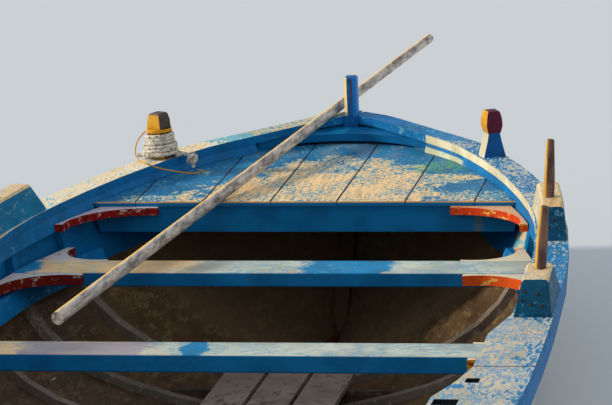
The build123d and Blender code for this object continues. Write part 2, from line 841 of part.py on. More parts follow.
for name, *block_places, pin_y, pin_inset, lean, to_port in block_rows:
    block = thole_block(*block_places)
    top = pin_plane(pin_y, pin_inset, lean)
    shoulder = thole_seat + thole_radius * sin(radians(lean))
    with BuildPart() as drilled:
        add(block.part)
        with Locations(top.offset(-thole_sink)):
            Cylinder(thole_shank + thole_fit, 2 * thole_sink,
                     align=(Align.CENTER, Align.CENTER, Align.MIN), mode=Mode.SUBTRACT)
    write_pair(drilled, f"thole_block_{name}")
    with BuildPart() as pin:
        with Locations(top.offset(thole_fit - thole_sink)):
            Cylinder(thole_shank, thole_sink + shoulder, align=(Align.CENTER, Align.CENTER, Align.MIN))
        with Locations(top.offset(shoulder)):
            Cylinder(thole_radius, thole_straight, align=(Align.CENTER, Align.CENTER, Align.MIN))
        with Locations(top.offset(shoulder + thole_straight)):
            Cone(thole_radius, thole_tip_radius, thole_length - thole_straight,
                 align=(Align.CENTER, Align.CENTER, Align.MIN))
        chamfer(pin.edges().sort_by(Axis.Z)[-1], 3)
    if to_port:
        write_pair(pin, f"thole_pin_{name}")
    else:
        write(pin, f"thole_pin_{name}_starboard")

# Mooring posts

bitt_plane = rail_plane(bitt_y, cover_thick + 2 * timber_gap)
bitt_run = rail_point(bitt_y)[1]
bitt_base = Plane(
    origin=bitt_plane.origin + bitt_plane.x_dir * bitt_inset,
    x_dir=bitt_plane.x_dir,
    z_dir=bitt_run.cross(bitt_plane.x_dir),
)
# Post with a spread foot, a narrow neck and a barrel head
#   height, across the rail, along the rail
bitt_sections = [
    (0.0, 76.0, 52.0),
    (28.0, 62.0, 50.0),
    (58.0, 47.0, 48.0),
    (76.0, 40.0, 47.0),
    (86.0, 47.0, 52.0),
    (104.0, 55.0, 57.0),
    (128.0, 52.0, 55.0),
    (147.0, 43.0, 48.0),
    (152.0, 36.0, 41.0),
]


def bitt_solid(room=0.0):
    with BuildPart() as post:
        for height, across, along in bitt_sections:
            with BuildSketch(bitt_base.offset(height)):
                Rectangle(across + 2 * room, along + 2 * room)
        loft(ruled=True)
    return post


write_pair(bitt_solid(), "mooring_post")

# Mooring rope and thin cord on the port post

rope_radius = 7.0
cord_radius = 2.25
winding_foot, winding_head = 66.0, 45.0     # radii of the wound rope, foot and head
winding_height = 84.0
lashing_height = 14.0
lashing_radius = 43.0


def wound(low, high, low_radius, high_radius, name):
    """Closed outer shape of turns round the port post, between two heights."""
    post_room = bitt_solid(timber_gap)
    with BuildPart() as turns:
        with BuildSketch(bitt_base.offset(low)):
            Circle(low_radius)
        with BuildSketch(bitt_base.offset(high)):
            Circle(high_radius)
        loft(ruled=True)
        add(post_room.part, mode=Mode.SUBTRACT)
    with BuildPart() as port_turns:
        mirror(turns.part, about=Plane.YZ)
    write(port_turns, name)


wound(timber_gap, winding_height, winding_foot, winding_head, "rope_winding")
lashing_foot = winding_height + timber_gap
wound(lashing_foot, winding_height + lashing_height, lashing_radius, lashing_radius, "cord_lashing")


def cord_radii(route):
    """Fillet radius at each inner corner: 0.45 of the shorter run over the tangent of half the turn."""
    radii = []
    for before, here, after in zip(route, route[1:], route[2:]):
        first, second = here - before, after - here
        half_turn = radians(first.get_angle(second)) / 2
        radii.append(0.45 * min(first.length, second.length) / tan(half_turn))
    return radii


def cord_tube(places, radius, name):
    route = [Vector(*place) for place in places]
    radii = cord_radii(route)
    print(name, "radii", [round(r, 1) for r in radii])
    with BuildPart() as tube:
        with BuildLine():
            FilletPolyline(*route, radius=radii)
        with BuildSketch(Plane(origin=route[0], z_dir=route[1] - route[0])):
            Circle(radius)
        sweep()
    write(tube, name)


# The rope's end: a short stub over the covering board's inner edge, and its stopper knot. Places are
# from the port post's foot.
port_foot = Vector(-bitt_base.origin.X, bitt_base.origin.Y, bitt_base.origin.Z)
stub_start = port_foot + Vector(66.7, -2.3, 15.1)
knot_upper = port_foot + Vector(103.7, -1.3, 1.1)
knot_lower = port_foot + Vector(105.7, 0.7, -16.9)
knot_radius = 21.0
stub_run = knot_upper - stub_start
with BuildPart() as rope_end:
    with Locations(knot_upper, knot_lower):
        Sphere(knot_radius)
    with BuildSketch(Plane(origin=stub_start, z_dir=stub_run)):
        Circle(rope_radius)
    extrude(amount=stub_run.length)
write(rope_end, "rope_end")

# The thin cord hangs outboard from the post's neck, crosses the board and drops to the deck. Places
# are from the port post's foot; the last two lie on the deck.
cord_rows = [
    (-45.6, -12.0, 91.1), (-67.3, -22.3, 71.1), (-77.3, -36.3, 44.1), (-75.3, -56.3, 19.1),
    (-58.3, -89.3, 10.1), (-38.3, -131.3, 9.1), (-16.3, -162.3, 12.1), (13.7, -156.3, -2.9),
    (47.7, -119.3, -20.9), (85.7, -69.3, -38.9), (115.7, -34.3, 0.0), (131.7, -9.3, 0.0),
]
cord_route = [port_foot + Vector(*row) for row in cord_rows]
for place in cord_route[-2:]:
    place.Z = deck_top(place.Y) + cord_radius + timber_gap
cord_tube(cord_route, cord_radius, "thin_cord")
cord_knot_radius = 6.0
cord_knot_place = port_foot + Vector(135.5, -3.0, 0)
cord_knot_place.Z = deck_top(cord_knot_place.Y) + cord_knot_radius + timber_gap
with BuildPart() as cord_knot:
    with Locations(cord_knot_place):
        Sphere(cord_knot_radius)
write(cord_knot, "cord_knot")

# Pole, lying over the foredeck's edge and the port bow cap

pole_start_place = Vector(-520, deck_edge - 1150, 0)
pole_end_place = Vector(142, half_length + 905, 0)
cap_rest_y = half_length - 10       # where it bears on the bow cap
pole_lift = 3.0
pole_length_level = pole_end_place.Y - pole_start_place.Y


def pole_radius_at(y):
    return between(pole_radius, pole_tip_radius, (y - pole_start_place.Y) / pole_length_level)


deck_rest = deck_z + pole_radius_at(deck_edge) + 2 * timber_gap
cap_rest = rail_top(rail_end) + pole_radius_at(cap_rest_y) + pole_lift
pole_rise = (cap_rest - deck_rest) / (cap_rest_y - deck_edge)
pole_start = pole_start_place + up * (deck_rest - pole_rise * (deck_edge - pole_start_place.Y))
pole_end = pole_end_place + up * (cap_rest + pole_rise * (pole_end_place.Y - cap_rest_y))
pole_run = pole_end - pole_start
with BuildPart() as pole:
    with BuildSketch(Plane(origin=pole_start, z_dir=pole_run)):
        Circle(pole_radius)
    with BuildSketch(Plane(origin=pole_end, z_dir=pole_run)):
        Circle(pole_tip_radius)
    loft(ruled=True)
write(pole, "pole")
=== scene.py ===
import bpy
import numpy as np
from mathutils import Matrix
from mathutils.bvhtree import BVHTree


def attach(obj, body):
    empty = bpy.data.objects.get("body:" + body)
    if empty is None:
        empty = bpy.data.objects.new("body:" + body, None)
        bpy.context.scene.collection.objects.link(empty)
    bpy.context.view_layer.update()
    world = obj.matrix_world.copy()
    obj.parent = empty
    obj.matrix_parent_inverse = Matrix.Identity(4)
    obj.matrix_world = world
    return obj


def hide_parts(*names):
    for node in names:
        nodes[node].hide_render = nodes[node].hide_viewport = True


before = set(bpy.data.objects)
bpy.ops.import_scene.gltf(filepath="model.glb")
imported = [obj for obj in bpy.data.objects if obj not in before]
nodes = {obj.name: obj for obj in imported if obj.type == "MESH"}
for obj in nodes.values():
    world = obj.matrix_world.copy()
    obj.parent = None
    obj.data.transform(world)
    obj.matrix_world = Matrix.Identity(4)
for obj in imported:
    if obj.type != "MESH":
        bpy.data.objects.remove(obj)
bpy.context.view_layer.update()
scene = bpy.context.scene
scene.view_settings.view_transform = "Standard"

# Camera: it looks over the boat's quarter to the bow, from well aft and above the rail,
# through a long lens, as the photograph was taken.
camera_data = bpy.data.cameras.new("camera")
camera_data.sensor_width = 36.0
camera_data.lens = 194.1
camera_data.clip_start = 0.1
camera_data.clip_end = 200.0
camera = bpy.data.objects.new("camera", camera_data)
camera_place = (1.9367, -8.3499, 2.5828)
camera_axes = np.array([
    [0.9832, 0.178, -0.0405],
    [0.0021, 0.2105, 0.9776],
    [0.1825, -0.9613, 0.2066],
])
camera_turn = Matrix(camera_axes.T.tolist()).to_4x4()
camera.matrix_world = Matrix.Translation(camera_place) @ camera_turn
scene.collection.objects.link(camera)
scene.camera = camera

# Thin cord: twisted synthetic cord lashed round the port mooring post's neck. Its free end hangs
# outboard of the post, crosses the covering board and ends in a small knot on the deck.
cord_thick = 0.0045
post_foot = np.array([-0.5584, 2.2234, 0.4676])
# each point's place from the post's foot, in millimetres
cord_route = [post_foot + np.array(step) / 1000.0 for step in [
    (-45.6, -12.0, 91.1), (-67.3, -22.3, 71.1), (-77.3, -36.3, 44.1), (-75.3, -56.3, 19.1),
    (-58.3, -89.3, 10.1), (-38.3, -131.3, 9.1), (-16.3, -162.3, 12.1), (13.7, -156.3, -2.9),
    (47.7, -119.3, -20.9), (85.7, -69.3, -38.9), (115.7, -34.3, -51.8), (131.7, -9.3, -51.3),
]]


class Sock:
    """One socket of a material's net. The operators add Math nodes; node() adds any other node."""

    def __init__(self, tree, socket):
        self.tree, self.socket = tree, socket

    def node(self, kind, settings=None, inputs=None, out=0):
        made = self.tree.nodes.new(kind)
        for key, value in (settings or {}).items():
            if key == "stops":
                ramp = made.color_ramp
                for place, colour in value[1:-1]:
                    ramp.elements.new(place).color = colour
                ramp.elements[0].position, ramp.elements[0].color = value[0]
                ramp.elements[-1].position, ramp.elements[-1].color = value[-1]
            else:
                setattr(made, key, value)
        for key, value in (inputs or {}).items():
            if isinstance(value, Sock):
                self.tree.links.new(value.socket, made.inputs[key])
            else:
                made.inputs[key].default_value = value
        return Sock(self.tree, made.outputs[out])

    def maths(self, operation, first, second=0.0):
        return self.node("ShaderNodeMath", {"operation": operation}, {0: first, 1: second})

    def __add__(self, other):
        return self.maths("ADD", self, other)

    __radd__ = __add__

    def __sub__(self, other):
        return self.maths("SUBTRACT", self, other)

    def __rsub__(self, other):
        return self.maths("SUBTRACT", other, self)

    def __mul__(self, other):
        return self.maths("MULTIPLY", self, other)

    __rmul__ = __mul__

    def __truediv__(self, other):
        return self.maths("DIVIDE", self, other)

    def __abs__(self):
        return self.maths("ABSOLUTE", self)

    def most(self, other):
        return self.maths("MAXIMUM", self, other)

    def least(self, other):
        return self.maths("MINIMUM", self, other)

    def fold(self, reach):
        """The distance to the nearest multiple of twice the reach: it rises to reach and falls back."""
        return self.maths("PINGPONG", self, reach)

    def rise(self, low, high):
        """0 below low, 1 above high, smooth between; low above high turns it round."""
        return self.node("ShaderNodeMapRange", {"interpolation_type": "SMOOTHSTEP"},
                         {"Value": self, "From Min": low, "From Max": high})

    def within(self, low, high, soft):
        """1 between low and high and 0 outside, with edges as wide as soft inside the two."""
        return self.rise(low, low + soft) * (1 - self.rise(high - soft, high))


def shade(red, green, blue):
    """A colour of 0 to 255 values as the shader's linear one."""
    part = np.array([red, green, blue]) / 255.0
    linear = np.where(part <= 0.04045, part / 12.92, ((part + 0.055) / 1.055) ** 2.4)
    return (*linear.tolist(), 1.0)


class Finish:
    """A material with its shader, and the places that its patterns read."""

    def __init__(self, name):
        self.material = bpy.data.materials.new(name)
        self.material.use_nodes = True
        self.tree = self.material.node_tree
        self.shader = self.tree.nodes["Principled BSDF"]
        self.shader.inputs["Specular IOR Level"].default_value = 0.16
        start = Sock(self.tree, None)
        self.place = start.node("ShaderNodeTexCoord", out="Object")
        self.x, self.y, self.z = self.parts(self.place)
        normal = start.node("ShaderNodeNewGeometry", out="Normal")
        self.face_x, self.face_y, self.face_z = self.parts(normal)

    def parts(self, vector):
        """A vector's three parts."""
        split = self.tree.nodes.new("ShaderNodeSeparateXYZ")
        self.tree.links.new(vector.socket, split.inputs[0])
        return [Sock(self.tree, split.outputs[i]) for i in range(3)]

    def noise(self, scale, stretch=(1, 1, 1), detail=3.0, roughness=0.55, shift=(0, 0, 0)):
        """Soft noise, 0 to 1: features are 1/scale metres across, divided by the stretch."""
        mapped = self.place.node("ShaderNodeMapping", None,
                                 {"Vector": self.place, "Scale": stretch, "Location": shift})
        inputs = {"Vector": mapped, "Scale": scale, "Detail": detail, "Roughness": roughness}
        return self.place.node("ShaderNodeTexNoise", None, inputs)

    def spot(self, centre, reach, ragged):
        """1 inside a level ellipse of the given centre and reach and 0 outside, with a ragged edge."""
        across = (self.x - centre[0]) / reach[0]
        along = (self.y - centre[1]) / reach[1]
        wander = (self.noise(14.0, (1, 1, 1), 5.0, 0.65) - 0.5) * (ragged * 8)
        edge = across * across + along * along + wander
        return 1 - edge.rise(0.75, 1.25)

    def spots(self, rows):
        """The most of several spots. A row holds a spot's centre, reach, raggedness and strength."""
        whole = self.spot(*rows[0][:3]) * rows[0][3]
        for centre, reach, ragged, strength in rows[1:]:
            whole = whole.most(self.spot(centre, reach, ragged) * strength)
        return whole

    def mix(self, mask, low, high):
        return self.place.node("ShaderNodeMix", {"data_type": "RGBA"}, {0: mask, 6: low, 7: high}, out=2)

    def by_side(self, port, starboard):
        """One colour to port and another to starboard."""
        return self.mix(self.x.rise(-0.1, 0.1), port, starboard)

    def end(self, colour, roughness, height=None, depth=0.001, strength=0.6):
        """Links the patterns to the shader."""
        self.tree.links.new(colour.socket, self.shader.inputs["Base Color"])
        if isinstance(roughness, Sock):
            self.tree.links.new(roughness.socket, self.shader.inputs["Roughness"])
        else:
            self.shader.inputs["Roughness"].default_value = roughness
        if height is not None:
            bump = self.place.node("ShaderNodeBump", None,
                                   {"Strength": strength, "Distance": depth, "Height": height})
            self.tree.links.new(bump.socket, self.shader.inputs["Normal"])
        return self.material


def cord_curve(name, route, thick):
    """A smooth cord: a spline of order 3 whose control points are the route's points."""
    data = bpy.data.curves.new(name, "CURVE")
    data.dimensions = "3D"
    spline = data.splines.new("NURBS")
    spline.points.add(len(route) - 1)
    for point, place in zip(spline.points, route):
        point.co = (*place, 1.0)
    spline.order_u = 3
    spline.use_endpoint_u = True
    data.resolution_u = 8
    data.bevel_depth = thick / 2
    data.bevel_resolution = 4
    data.use_fill_caps = True
    piece = bpy.data.objects.new(name, data)
    scene.collection.objects.link(piece)
    return piece


def cord_finish(name, light, dark, pitch):
    """Twisted strands, as slanting bands of light and dark that a higher pitch sets closer."""
    finish = Finish(name)
    band = finish.place.node("ShaderNodeTexWave", {"bands_direction": "DIAGONAL"},
                             {"Vector": finish.place, "Scale": pitch, "Distortion": 1.5, "Detail": 1.0})
    tone = finish.mix(band.rise(0.2, 0.8), dark, light)
    dirt = finish.noise(30.0).rise(0.45, 0.75)
    colour = finish.mix(dirt * 0.4, tone, shade(120, 96, 60))
    return finish.end(colour, 0.7, band, 0.0006, 0.8)


orange_cord = cord_finish("orange_cord", shade(252, 190, 44), shade(214, 130, 24), 160.0)
thin_cord = cord_curve("cord_loose", cord_route, cord_thick)
thin_cord.data.materials.append(orange_cord)


def mesh_piece(name, points, faces, material, smooth=True):
    """A new piece from arrays of points and faces, with its material."""
    mesh = bpy.data.meshes.new(name)
    mesh.from_pydata(np.asarray(points).tolist(), [], [list(face) for face in faces])
    mesh.polygons.foreach_set("use_smooth", np.full(len(mesh.polygons), smooth))
    mesh.materials.append(material)
    mesh.update()
    piece = bpy.data.objects.new(name, mesh)
    scene.collection.objects.link(piece)
    return piece


def grid_faces(rows, columns, close=False):
    """Quads of a grid of points, row by row; close joins the last column to the first."""
    r = np.arange(rows - 1)[:, None]
    c = np.arange(columns if close else columns - 1)[None, :]
    n = (c + 1) % columns
    faces = np.stack([r * columns + c, r * columns + n, (r + 1) * columns + n, (r + 1) * columns + c], -1)
    return faces.reshape(-1, 4)


def tube(path, radius, sides=8):
    """A round tube, closed at both ends: at each point of the path, a ring of the radius in the plane
    across its run. The rings' first direction is carried along, turned as little as can be."""
    path = np.asarray(path, float)
    run = np.gradient(path, axis=0)
    run /= np.linalg.norm(run, axis=1)[:, None]
    side = np.zeros_like(path)
    start = np.cross(run[0], (0.13, 0.21, 0.97))
    for i in range(len(path)):
        start = start - run[i] * (start @ run[i])
        start /= np.linalg.norm(start)
        side[i] = start
    other = np.cross(run, side)
    angle = np.linspace(0, 2 * np.pi, sides, endpoint=False)
    cosine, sine = np.cos(angle)[None, :, None], np.sin(angle)[None, :, None]
    ring = side[:, None, :] * cosine + other[:, None, :] * sine
    points = (path[:, None, :] + ring * radius).reshape(-1, 3)
    faces = grid_faces(len(path), sides, True).tolist()
    faces.append(list(range(sides))[::-1])
    faces.append([len(points) - sides + i for i in range(sides)])
    return points, faces


def joined(pieces):
    """Several sets of points and faces as one."""
    points, faces, first = [], [], 0
    for some_points, some_faces in pieces:
        points.append(np.asarray(some_points))
        faces += [[int(v) + first for v in face] for face in some_faces]
        first += len(some_points)
    return np.vstack(points), faces


# The port mooring post's axis, square to the rail there, and two directions across it.
post_axis = np.array([-0.0151, -0.0296, 0.9995])
post_inboard = np.cross((0.0, 1.0, 0.0), post_axis)
post_inboard /= np.linalg.norm(post_inboard)
post_fore = np.cross(post_axis, post_inboard)


def round_post(angle, radius, height):
    """Places round the post: radius at an angle from inboard, at a height up its axis."""
    across = post_inboard * (np.cos(angle) * radius)[..., None]
    along = post_fore * (np.sin(angle) * radius)[..., None]
    return post_foot + post_axis * np.asarray(height)[..., None] + across + along


# The lashing at the post's neck, in two layers of turns wound opposite ways.
neck_radius = 0.0402
neck_turns = np.linspace(0, 2 * np.pi * 3.4, 160)


def lashing_layer(angle, wobble, foot, pitch):
    """Turns of the cord at the neck's radius plus a wobble, from the height foot up by pitch a turn."""
    height = foot + pitch * neck_turns / (2 * np.pi)
    return tube(round_post(angle, neck_radius + wobble, height), cord_thick / 2)


lashing = mesh_piece("cord_lashing_turns", *joined([
    lashing_layer(neck_turns, 0.0006 * np.sin(neck_turns * 2.3), 0.0888, 0.0032),
    lashing_layer(-neck_turns * 0.8 + 0.7, 0.0005 * np.sin(neck_turns * 3.1), 0.0905, 0.0028),
]), orange_cord)

# The small knot at the thin cord's end.
knot_place = post_foot + (0.1355, -0.0030, -0.0470)
turn = np.linspace(0, 2 * np.pi * 1.9, 60)
knot_path = knot_place + np.stack([
    0.0034 * np.cos(turn) + 0.0012 * np.sin(2.1 * turn),
    0.0030 * np.sin(turn),
    0.0019 * np.cos(1.3 * turn),
], -1)
cord_knot = mesh_piece("cord_end_knot", *tube(knot_path, cord_thick / 2), orange_cord)
for piece, node in ((thin_cord, "thin_cord"), (lashing, "cord_lashing"), (cord_knot, "cord_knot")):
    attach(piece, "root")
    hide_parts(node)

# Mooring rope: three-strand rope wound round the port post from its foot up, six turns on a cone,
# with its end over the covering board's edge in a stopper knot.
rope_thick = 0.0145
strand = 0.0052
rope_lay = 0.040


def laid_rope(path, thick, strand_radius, lay=rope_lay):
    """Three strands round a path: each circles it at half of thick less its own radius, once in every
    lay metres of the path."""
    path = np.asarray(path, float)
    run = np.gradient(path, axis=0)
    step = np.linalg.norm(np.diff(path, axis=0), axis=1)
    along = np.concatenate([[0], np.cumsum(step)])
    run /= np.linalg.norm(run, axis=1)[:, None]
    side = np.cross(run, post_axis + 0.01)
    side /= np.linalg.norm(side, axis=1)[:, None]
    other = np.cross(run, side)
    off = thick / 2 - strand_radius
    sets = []
    for k in range(3):
        angle = 2 * np.pi * (along / lay + k / 3)
        centre = path + off * (side * np.cos(angle)[:, None] + other * np.sin(angle)[:, None])
        sets.append(tube(centre, strand_radius, 7))
    return joined(sets)


def rope_finish():
    """Bleached fibre: pale threads along the strands with grey dirt between."""
    finish = Finish("greyed_rope")
    fibre = finish.noise(420.0, (1, 1, 0.5), 3.0, 0.6)
    dirt = finish.noise(38.0, detail=4.0).rise(0.42, 0.72)
    tone = finish.mix(fibre.rise(0.3, 0.7), shade(190, 176, 156), shade(246, 240, 224))
    colour = finish.mix(dirt * 0.45, tone, shade(128, 112, 98))
    tracer = finish.noise(120.0, detail=1.0).rise(0.62, 0.66)
    colour = finish.mix(tracer * 0.85, colour, shade(34, 30, 34))
    return finish.end(colour, 0.85, fibre, 0.0005, 0.6)


pale_rope = rope_finish()
turns = 6.2
foot_radius, taper = 0.0660, 0.0190
foot_height, climb = 0.0078, 0.0740
wind = np.linspace(0, 1, 900)
wind_angle = -0.3 + 2 * np.pi * turns * wind
cone = (foot_radius - taper * wind) - rope_thick / 2
sway = 0.0014 * np.sin(wind_angle * 0.37 + 1.2) + 0.0010 * np.sin(wind_angle * 1.7)
tilt = 0.0030 * np.sin(wind_angle + 2.6) * np.sin(np.pi * wind)
lift = foot_height + climb * wind + tilt + 0.0010 * np.sin(wind_angle * 0.61)
winding_path = round_post(wind_angle, cone + sway, lift)
# the rope's lower end stands out from the first turn, straight outboard
end_angle, end_radius, end_height = 3.35, (0.052, 0.079), (0.010, 0.012)
low_end = round_post(np.full(30, end_angle), np.linspace(*end_radius, 30), np.linspace(*end_height, 30))
winding = mesh_piece("rope_turns", *joined([
    laid_rope(winding_path, rope_thick, strand),
    laid_rope(low_end, 0.0150, 0.0056),
]), pale_rope)


def straight_part(start, run, count):
    """A straight length of rope: count places from the start, given from the post's foot, over the run."""
    return post_foot + start + np.outer(np.linspace(0, 1, count), run)


stub_part = straight_part(start=(0.0640, -0.0023, 0.0155), run=(0.034, 0.0012, -0.009), count=40)
tail_part = straight_part(start=(0.1062, 0.0010, -0.020), run=(0.0035, -0.001, -0.016), count=24)
bend = np.linspace(0, 2 * np.pi, 320)
wide = 0.0098 + 0.0050 * np.cos(3 * bend)
knot_part = post_foot + (0.1047, -0.0003, -0.0050) + np.stack([
    wide * np.cos(2 * bend), wide * np.sin(2 * bend), 0.0120 * np.sin(3 * bend),
], -1)
knot_shape = mesh_piece("rope_stopper_knot", *joined([
    laid_rope(stub_part, rope_thick, strand),
    laid_rope(knot_part, 0.0135, 0.0048, 0.034),
    laid_rope(tail_part, 0.0130, 0.0050),
]), pale_rope)
for piece, node in ((winding, "rope_winding"), (knot_shape, "rope_end")):
    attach(piece, "root")
    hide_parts(node)

# Stem and sternpost: oak. Their heads are bright blue, with painted sunlight in cream on the stem's port
# corner; inside they are dark with oil, and under the water they have the red bottom paint.
WATER_RED = shade(112, 44, 34)
DARK_TIMBER = shade(108, 84, 58)
GRAIN = {"x": (0.06, 1, 1), "y": (1, 0.06, 1), "z": (1, 1, 0.06)}


def darker(colour, share):
    return tuple(part * share for part in colour[:3]) + (1,)


def old_paint(finish, coat, under, wood, bare, grain="y", fleck=55.0, drift=3.0, spread=0.06):
    """Layers of brushed paint over wood. Fine noise plus slow noise is compared with how bare the place
    is: past one level it shows the coat below, and past a higher one the wood.
    Returns the colour, the roughness and the height."""
    under_level, wood_level = 0.60, 0.66
    run = GRAIN[grain]
    streak = finish.noise(90.0, run, 4.0, 0.6)
    fine = finish.noise(fleck, tuple(0.4 + 0.6 * part for part in run), 7.0, 0.74)
    slow = finish.noise(drift, (1, 1, 1), 3.0, 0.55, (3, 1, 2))
    level = fine * 0.75 + slow * 0.25 + bare * 0.42
    first = level.rise(under_level, under_level + spread * 0.6)
    second = level.rise(wood_level, wood_level + spread * 0.6)
    faded = finish.mix(finish.noise(9.0, detail=4.0).rise(0.3, 0.75), coat, darker(coat, 0.66))
    faded = finish.mix(streak.rise(0.55, 0.8) * 0.3, faded, under)
    timber = finish.mix(streak.rise(0.40, 0.75), wood, darker(wood, 0.60))
    colour = finish.mix(second, finish.mix(first, faded, under), timber)
    rough = 0.50 + 0.15 * first + 0.18 * second
    height = (1 - second) * 0.7 + (1 - first) * 0.3 + streak * 0.35
    return colour, rough, height


def paint_colour(finish, *layers):
    """The colour alone of old_paint, for a second coat on the same piece."""
    return old_paint(finish, *layers)[0]


def post_finish():
    finish = Finish("stem_blue_paint")
    colour, rough, height = old_paint(finish, shade(14, 94, 158), shade(30, 124, 186), shade(104, 66, 44),
                                      0.04 + finish.z.rise(0.50, 0.58) * 0.16, "z", 60.0)
    # above the rails: a brown streak down the after face, a brighter starboard face, and painted sunlight in
    # cream on the port corner
    above_rail = finish.z.rise(0.46, 0.47)
    after_face = 0 - finish.face_y
    streak = 1 - abs(finish.x - 0.003 + (finish.noise(14.0) - 0.5) * 0.03).rise(0.002, 0.006)
    streak = streak * finish.z.rise(0.50, 0.53) * finish.noise(24.0, (1, 1, 0.3), 4.0).rise(0.44, 0.52)
    colour = finish.mix(streak * after_face.rise(0.5, 0.9) * 0.8, colour, shade(92, 62, 46))
    starboard = finish.face_x.rise(0.35, 0.6) * above_rail
    colour = finish.mix(starboard, colour, shade(24, 128, 206))
    # the cream on faces turned to port and aft is painted sunlight
    port = (0 - finish.face_x).rise(0.35, 0.6) * above_rail * finish.noise(30.0, GRAIN["z"]).rise(0.34, 0.44)
    colour = finish.mix(port * after_face.rise(0.2, 0.5), colour, shade(236, 206, 138))
    # under the decks and inside the planks the posts are bare and oiled
    inboard = 1 - abs(finish.y).rise(2.735, 2.745)
    under_deck = 1 - finish.z.rise(0.40, 0.41)
    colour = finish.mix(inboard * under_deck, colour, DARK_TIMBER)
    below_water = (1 - finish.z.rise(0.03, 0.034)) * (1 - inboard)
    colour = finish.mix(below_water, colour, WATER_RED)
    return finish.end(colour, rough, height)


def dress(material, *names):
    for name in names:
        mesh = nodes[name].data
        mesh.materials.clear()
        mesh.materials.append(material)


dress(post_finish(), "stem_post", "stern_post")

# Planking and keel: carvel planks of pine, caulked, on an oak keel. Outside they have red bottom paint
# to just above the water and white over it; inside they are oiled brown, with blue down from the rail.
SHADE_BLUE = shade(6, 118, 184)
WORN_BLUE = shade(48, 138, 186)
blue_drop = (0.205, 0.212)  # how far below the rail the blue paint inside fades out


def rail_height(finish):
    """Height of the planking's top edge at each place along the boat: a ramp of its stations, in which
    black stands for the height low, and white for low plus span."""
    half_length, low, span = 2.8, 0.3, 0.3
    share = finish.place.node("ShaderNodeMapRange", {"interpolation_type": "LINEAR"},
                              {"Value": finish.y, "From Min": -half_length, "From Max": half_length})
    # (place along the boat, height)
    stations = [(-2.8, 0.421), (-2.56, 0.398), (-2.2, 0.378), (-1.6, 0.363), (-0.8, 0.355),
                (0.0, 0.370), (0.8, 0.394), (1.6, 0.417), (2.2, 0.439), (2.4, 0.446),
                (2.56, 0.453), (2.69, 0.463), (2.8, 0.478)]
    stops = [((y + half_length) / (2 * half_length), ((z - low) / span,) * 3 + (1,)) for y, z in stations]
    ramp = finish.place.node("ShaderNodeValToRGB", {"stops": stops}, {0: share})
    value = finish.place.node("ShaderNodeSeparateColor", None, {0: ramp})
    return value * span + low


def inside_planks(finish):
    """Blue from the rail down by blue_drop, and brown timber below it."""
    stain = finish.noise(6.0, (1, 1, 2), 4.0)
    below = rail_height(finish) - finish.z
    timber = paint_colour(finish, DARK_TIMBER, shade(136, 110, 78), shade(74, 56, 40), 0.10 + stain * 0.15,
                          "y", 30.0)
    grime = finish.noise(22.0, (1, 0.3, 2), 5.0, 0.7).rise(0.44, 0.62)
    timber = finish.mix(grime * 0.5, timber, shade(76, 56, 38))
    # paler under the foredeck, darker from the fore thwart aft
    timber = finish.mix(finish.y.rise(1.85, 2.0) * 0.35, timber, shade(168, 140, 104))
    timber = finish.mix((1 - finish.y.rise(1.3, 1.8)) * 0.35, timber, shade(44, 32, 22))
    blue = paint_colour(finish, SHADE_BLUE, WORN_BLUE, shade(112, 92, 72), stain * 0.12, "y", 46.0)
    # under the starboard rail before the fore thwart: a pale patch of painted sunlight, cream flecked with
    # worn cyan
    patch = finish.x.rise(0.4, 0.5) * finish.y.rise(1.30, 1.42) * (1 - finish.y.rise(1.78, 1.84))
    cyan = finish.noise(26.0, (1, 0.5, 1), 5.0, 0.7).rise(0.45, 0.55)
    pale = finish.mix(cyan, shade(232, 214, 164), shade(120, 196, 206))
    blue = finish.mix(patch * 0.9, blue, pale)
    return finish.mix(1 - (below + (stain - 0.5) * 0.03).rise(*blue_drop), timber, blue)


def plank_finish(name, outside):
    """Planks of one group: outside(finish) gives the colour above the bottom paint."""
    finish = Finish(name)
    stain = finish.noise(5.0, (1, 1, 3), 4.0)
    red, rough, height = old_paint(finish, WATER_RED, shade(86, 40, 34), shade(96, 80, 66),
                                   stain * 0.1 - 0.10, "y", 40.0)
    colour = finish.mix(finish.z.rise(0.030, 0.033), red, outside(finish, stain))
    # weed and tide marks just above the water
    tide = (1 - finish.z.rise(0.03, 0.13)) * finish.z.rise(0.028, 0.034) * stain.rise(0.35, 0.65)
    colour = finish.mix(tide * 0.6, colour, shade(132, 126, 96))
    inside = (finish.x * finish.face_x).rise(0.0, -0.002)
    return finish.end(finish.mix(inside, colour, inside_planks(finish)), rough, height)


def white_topside(finish, stain):
    white = paint_colour(finish, shade(226, 222, 208), shade(198, 190, 170), shade(150, 130, 106),
                         stain * 0.14 - 0.04, "y", 50.0)
    streaks = finish.noise(30.0, (1, 1, 0.06), 4.0).rise(0.52, 0.70)
    return finish.mix(streaks * 0.35, white, shade(168, 146, 112))


def yellow_sheer(finish, stain):
    """A thin white line below the rubbing strake, and yellow under it."""
    below = rail_height(finish) - finish.z
    yellow = paint_colour(finish, shade(232, 180, 40), shade(206, 196, 160), shade(130, 100, 70),
                          stain * 0.1 - 0.02, "y", 50.0)
    white = paint_colour(finish, shade(230, 228, 218), shade(170, 176, 180), shade(130, 110, 90),
                         0.02 + stain * 0.1, "y", 50.0)
    return finish.mix(1 - below.rise(0.066, 0.068), yellow, white)


def both(*names):
    """Each name's starboard and port node."""
    return [name + side for name in names for side in ("_starboard", "_port")]


dress(plank_finish("white_over_red_paint", white_topside), "keel",
      *both("bottom_strakes", "topside_strakes", "second_strake"))
dress(plank_finish("yellow_sheer_paint", yellow_sheer), *both("sheer_strake"))

# Caulking: twisted oakum and pitch, driven into the seams and butts of the planks from outside,
# at half their depth.
caulk_reach = 0.0008
broad_side = 0.04
post_half = 0.0246


def read(items, attribute, width, kind):
    """An attribute of a mesh's items as an array, with one row for each item."""
    values = np.zeros(len(items) * width, kind)
    items.foreach_get(attribute, values)
    return values.reshape(-1, width)


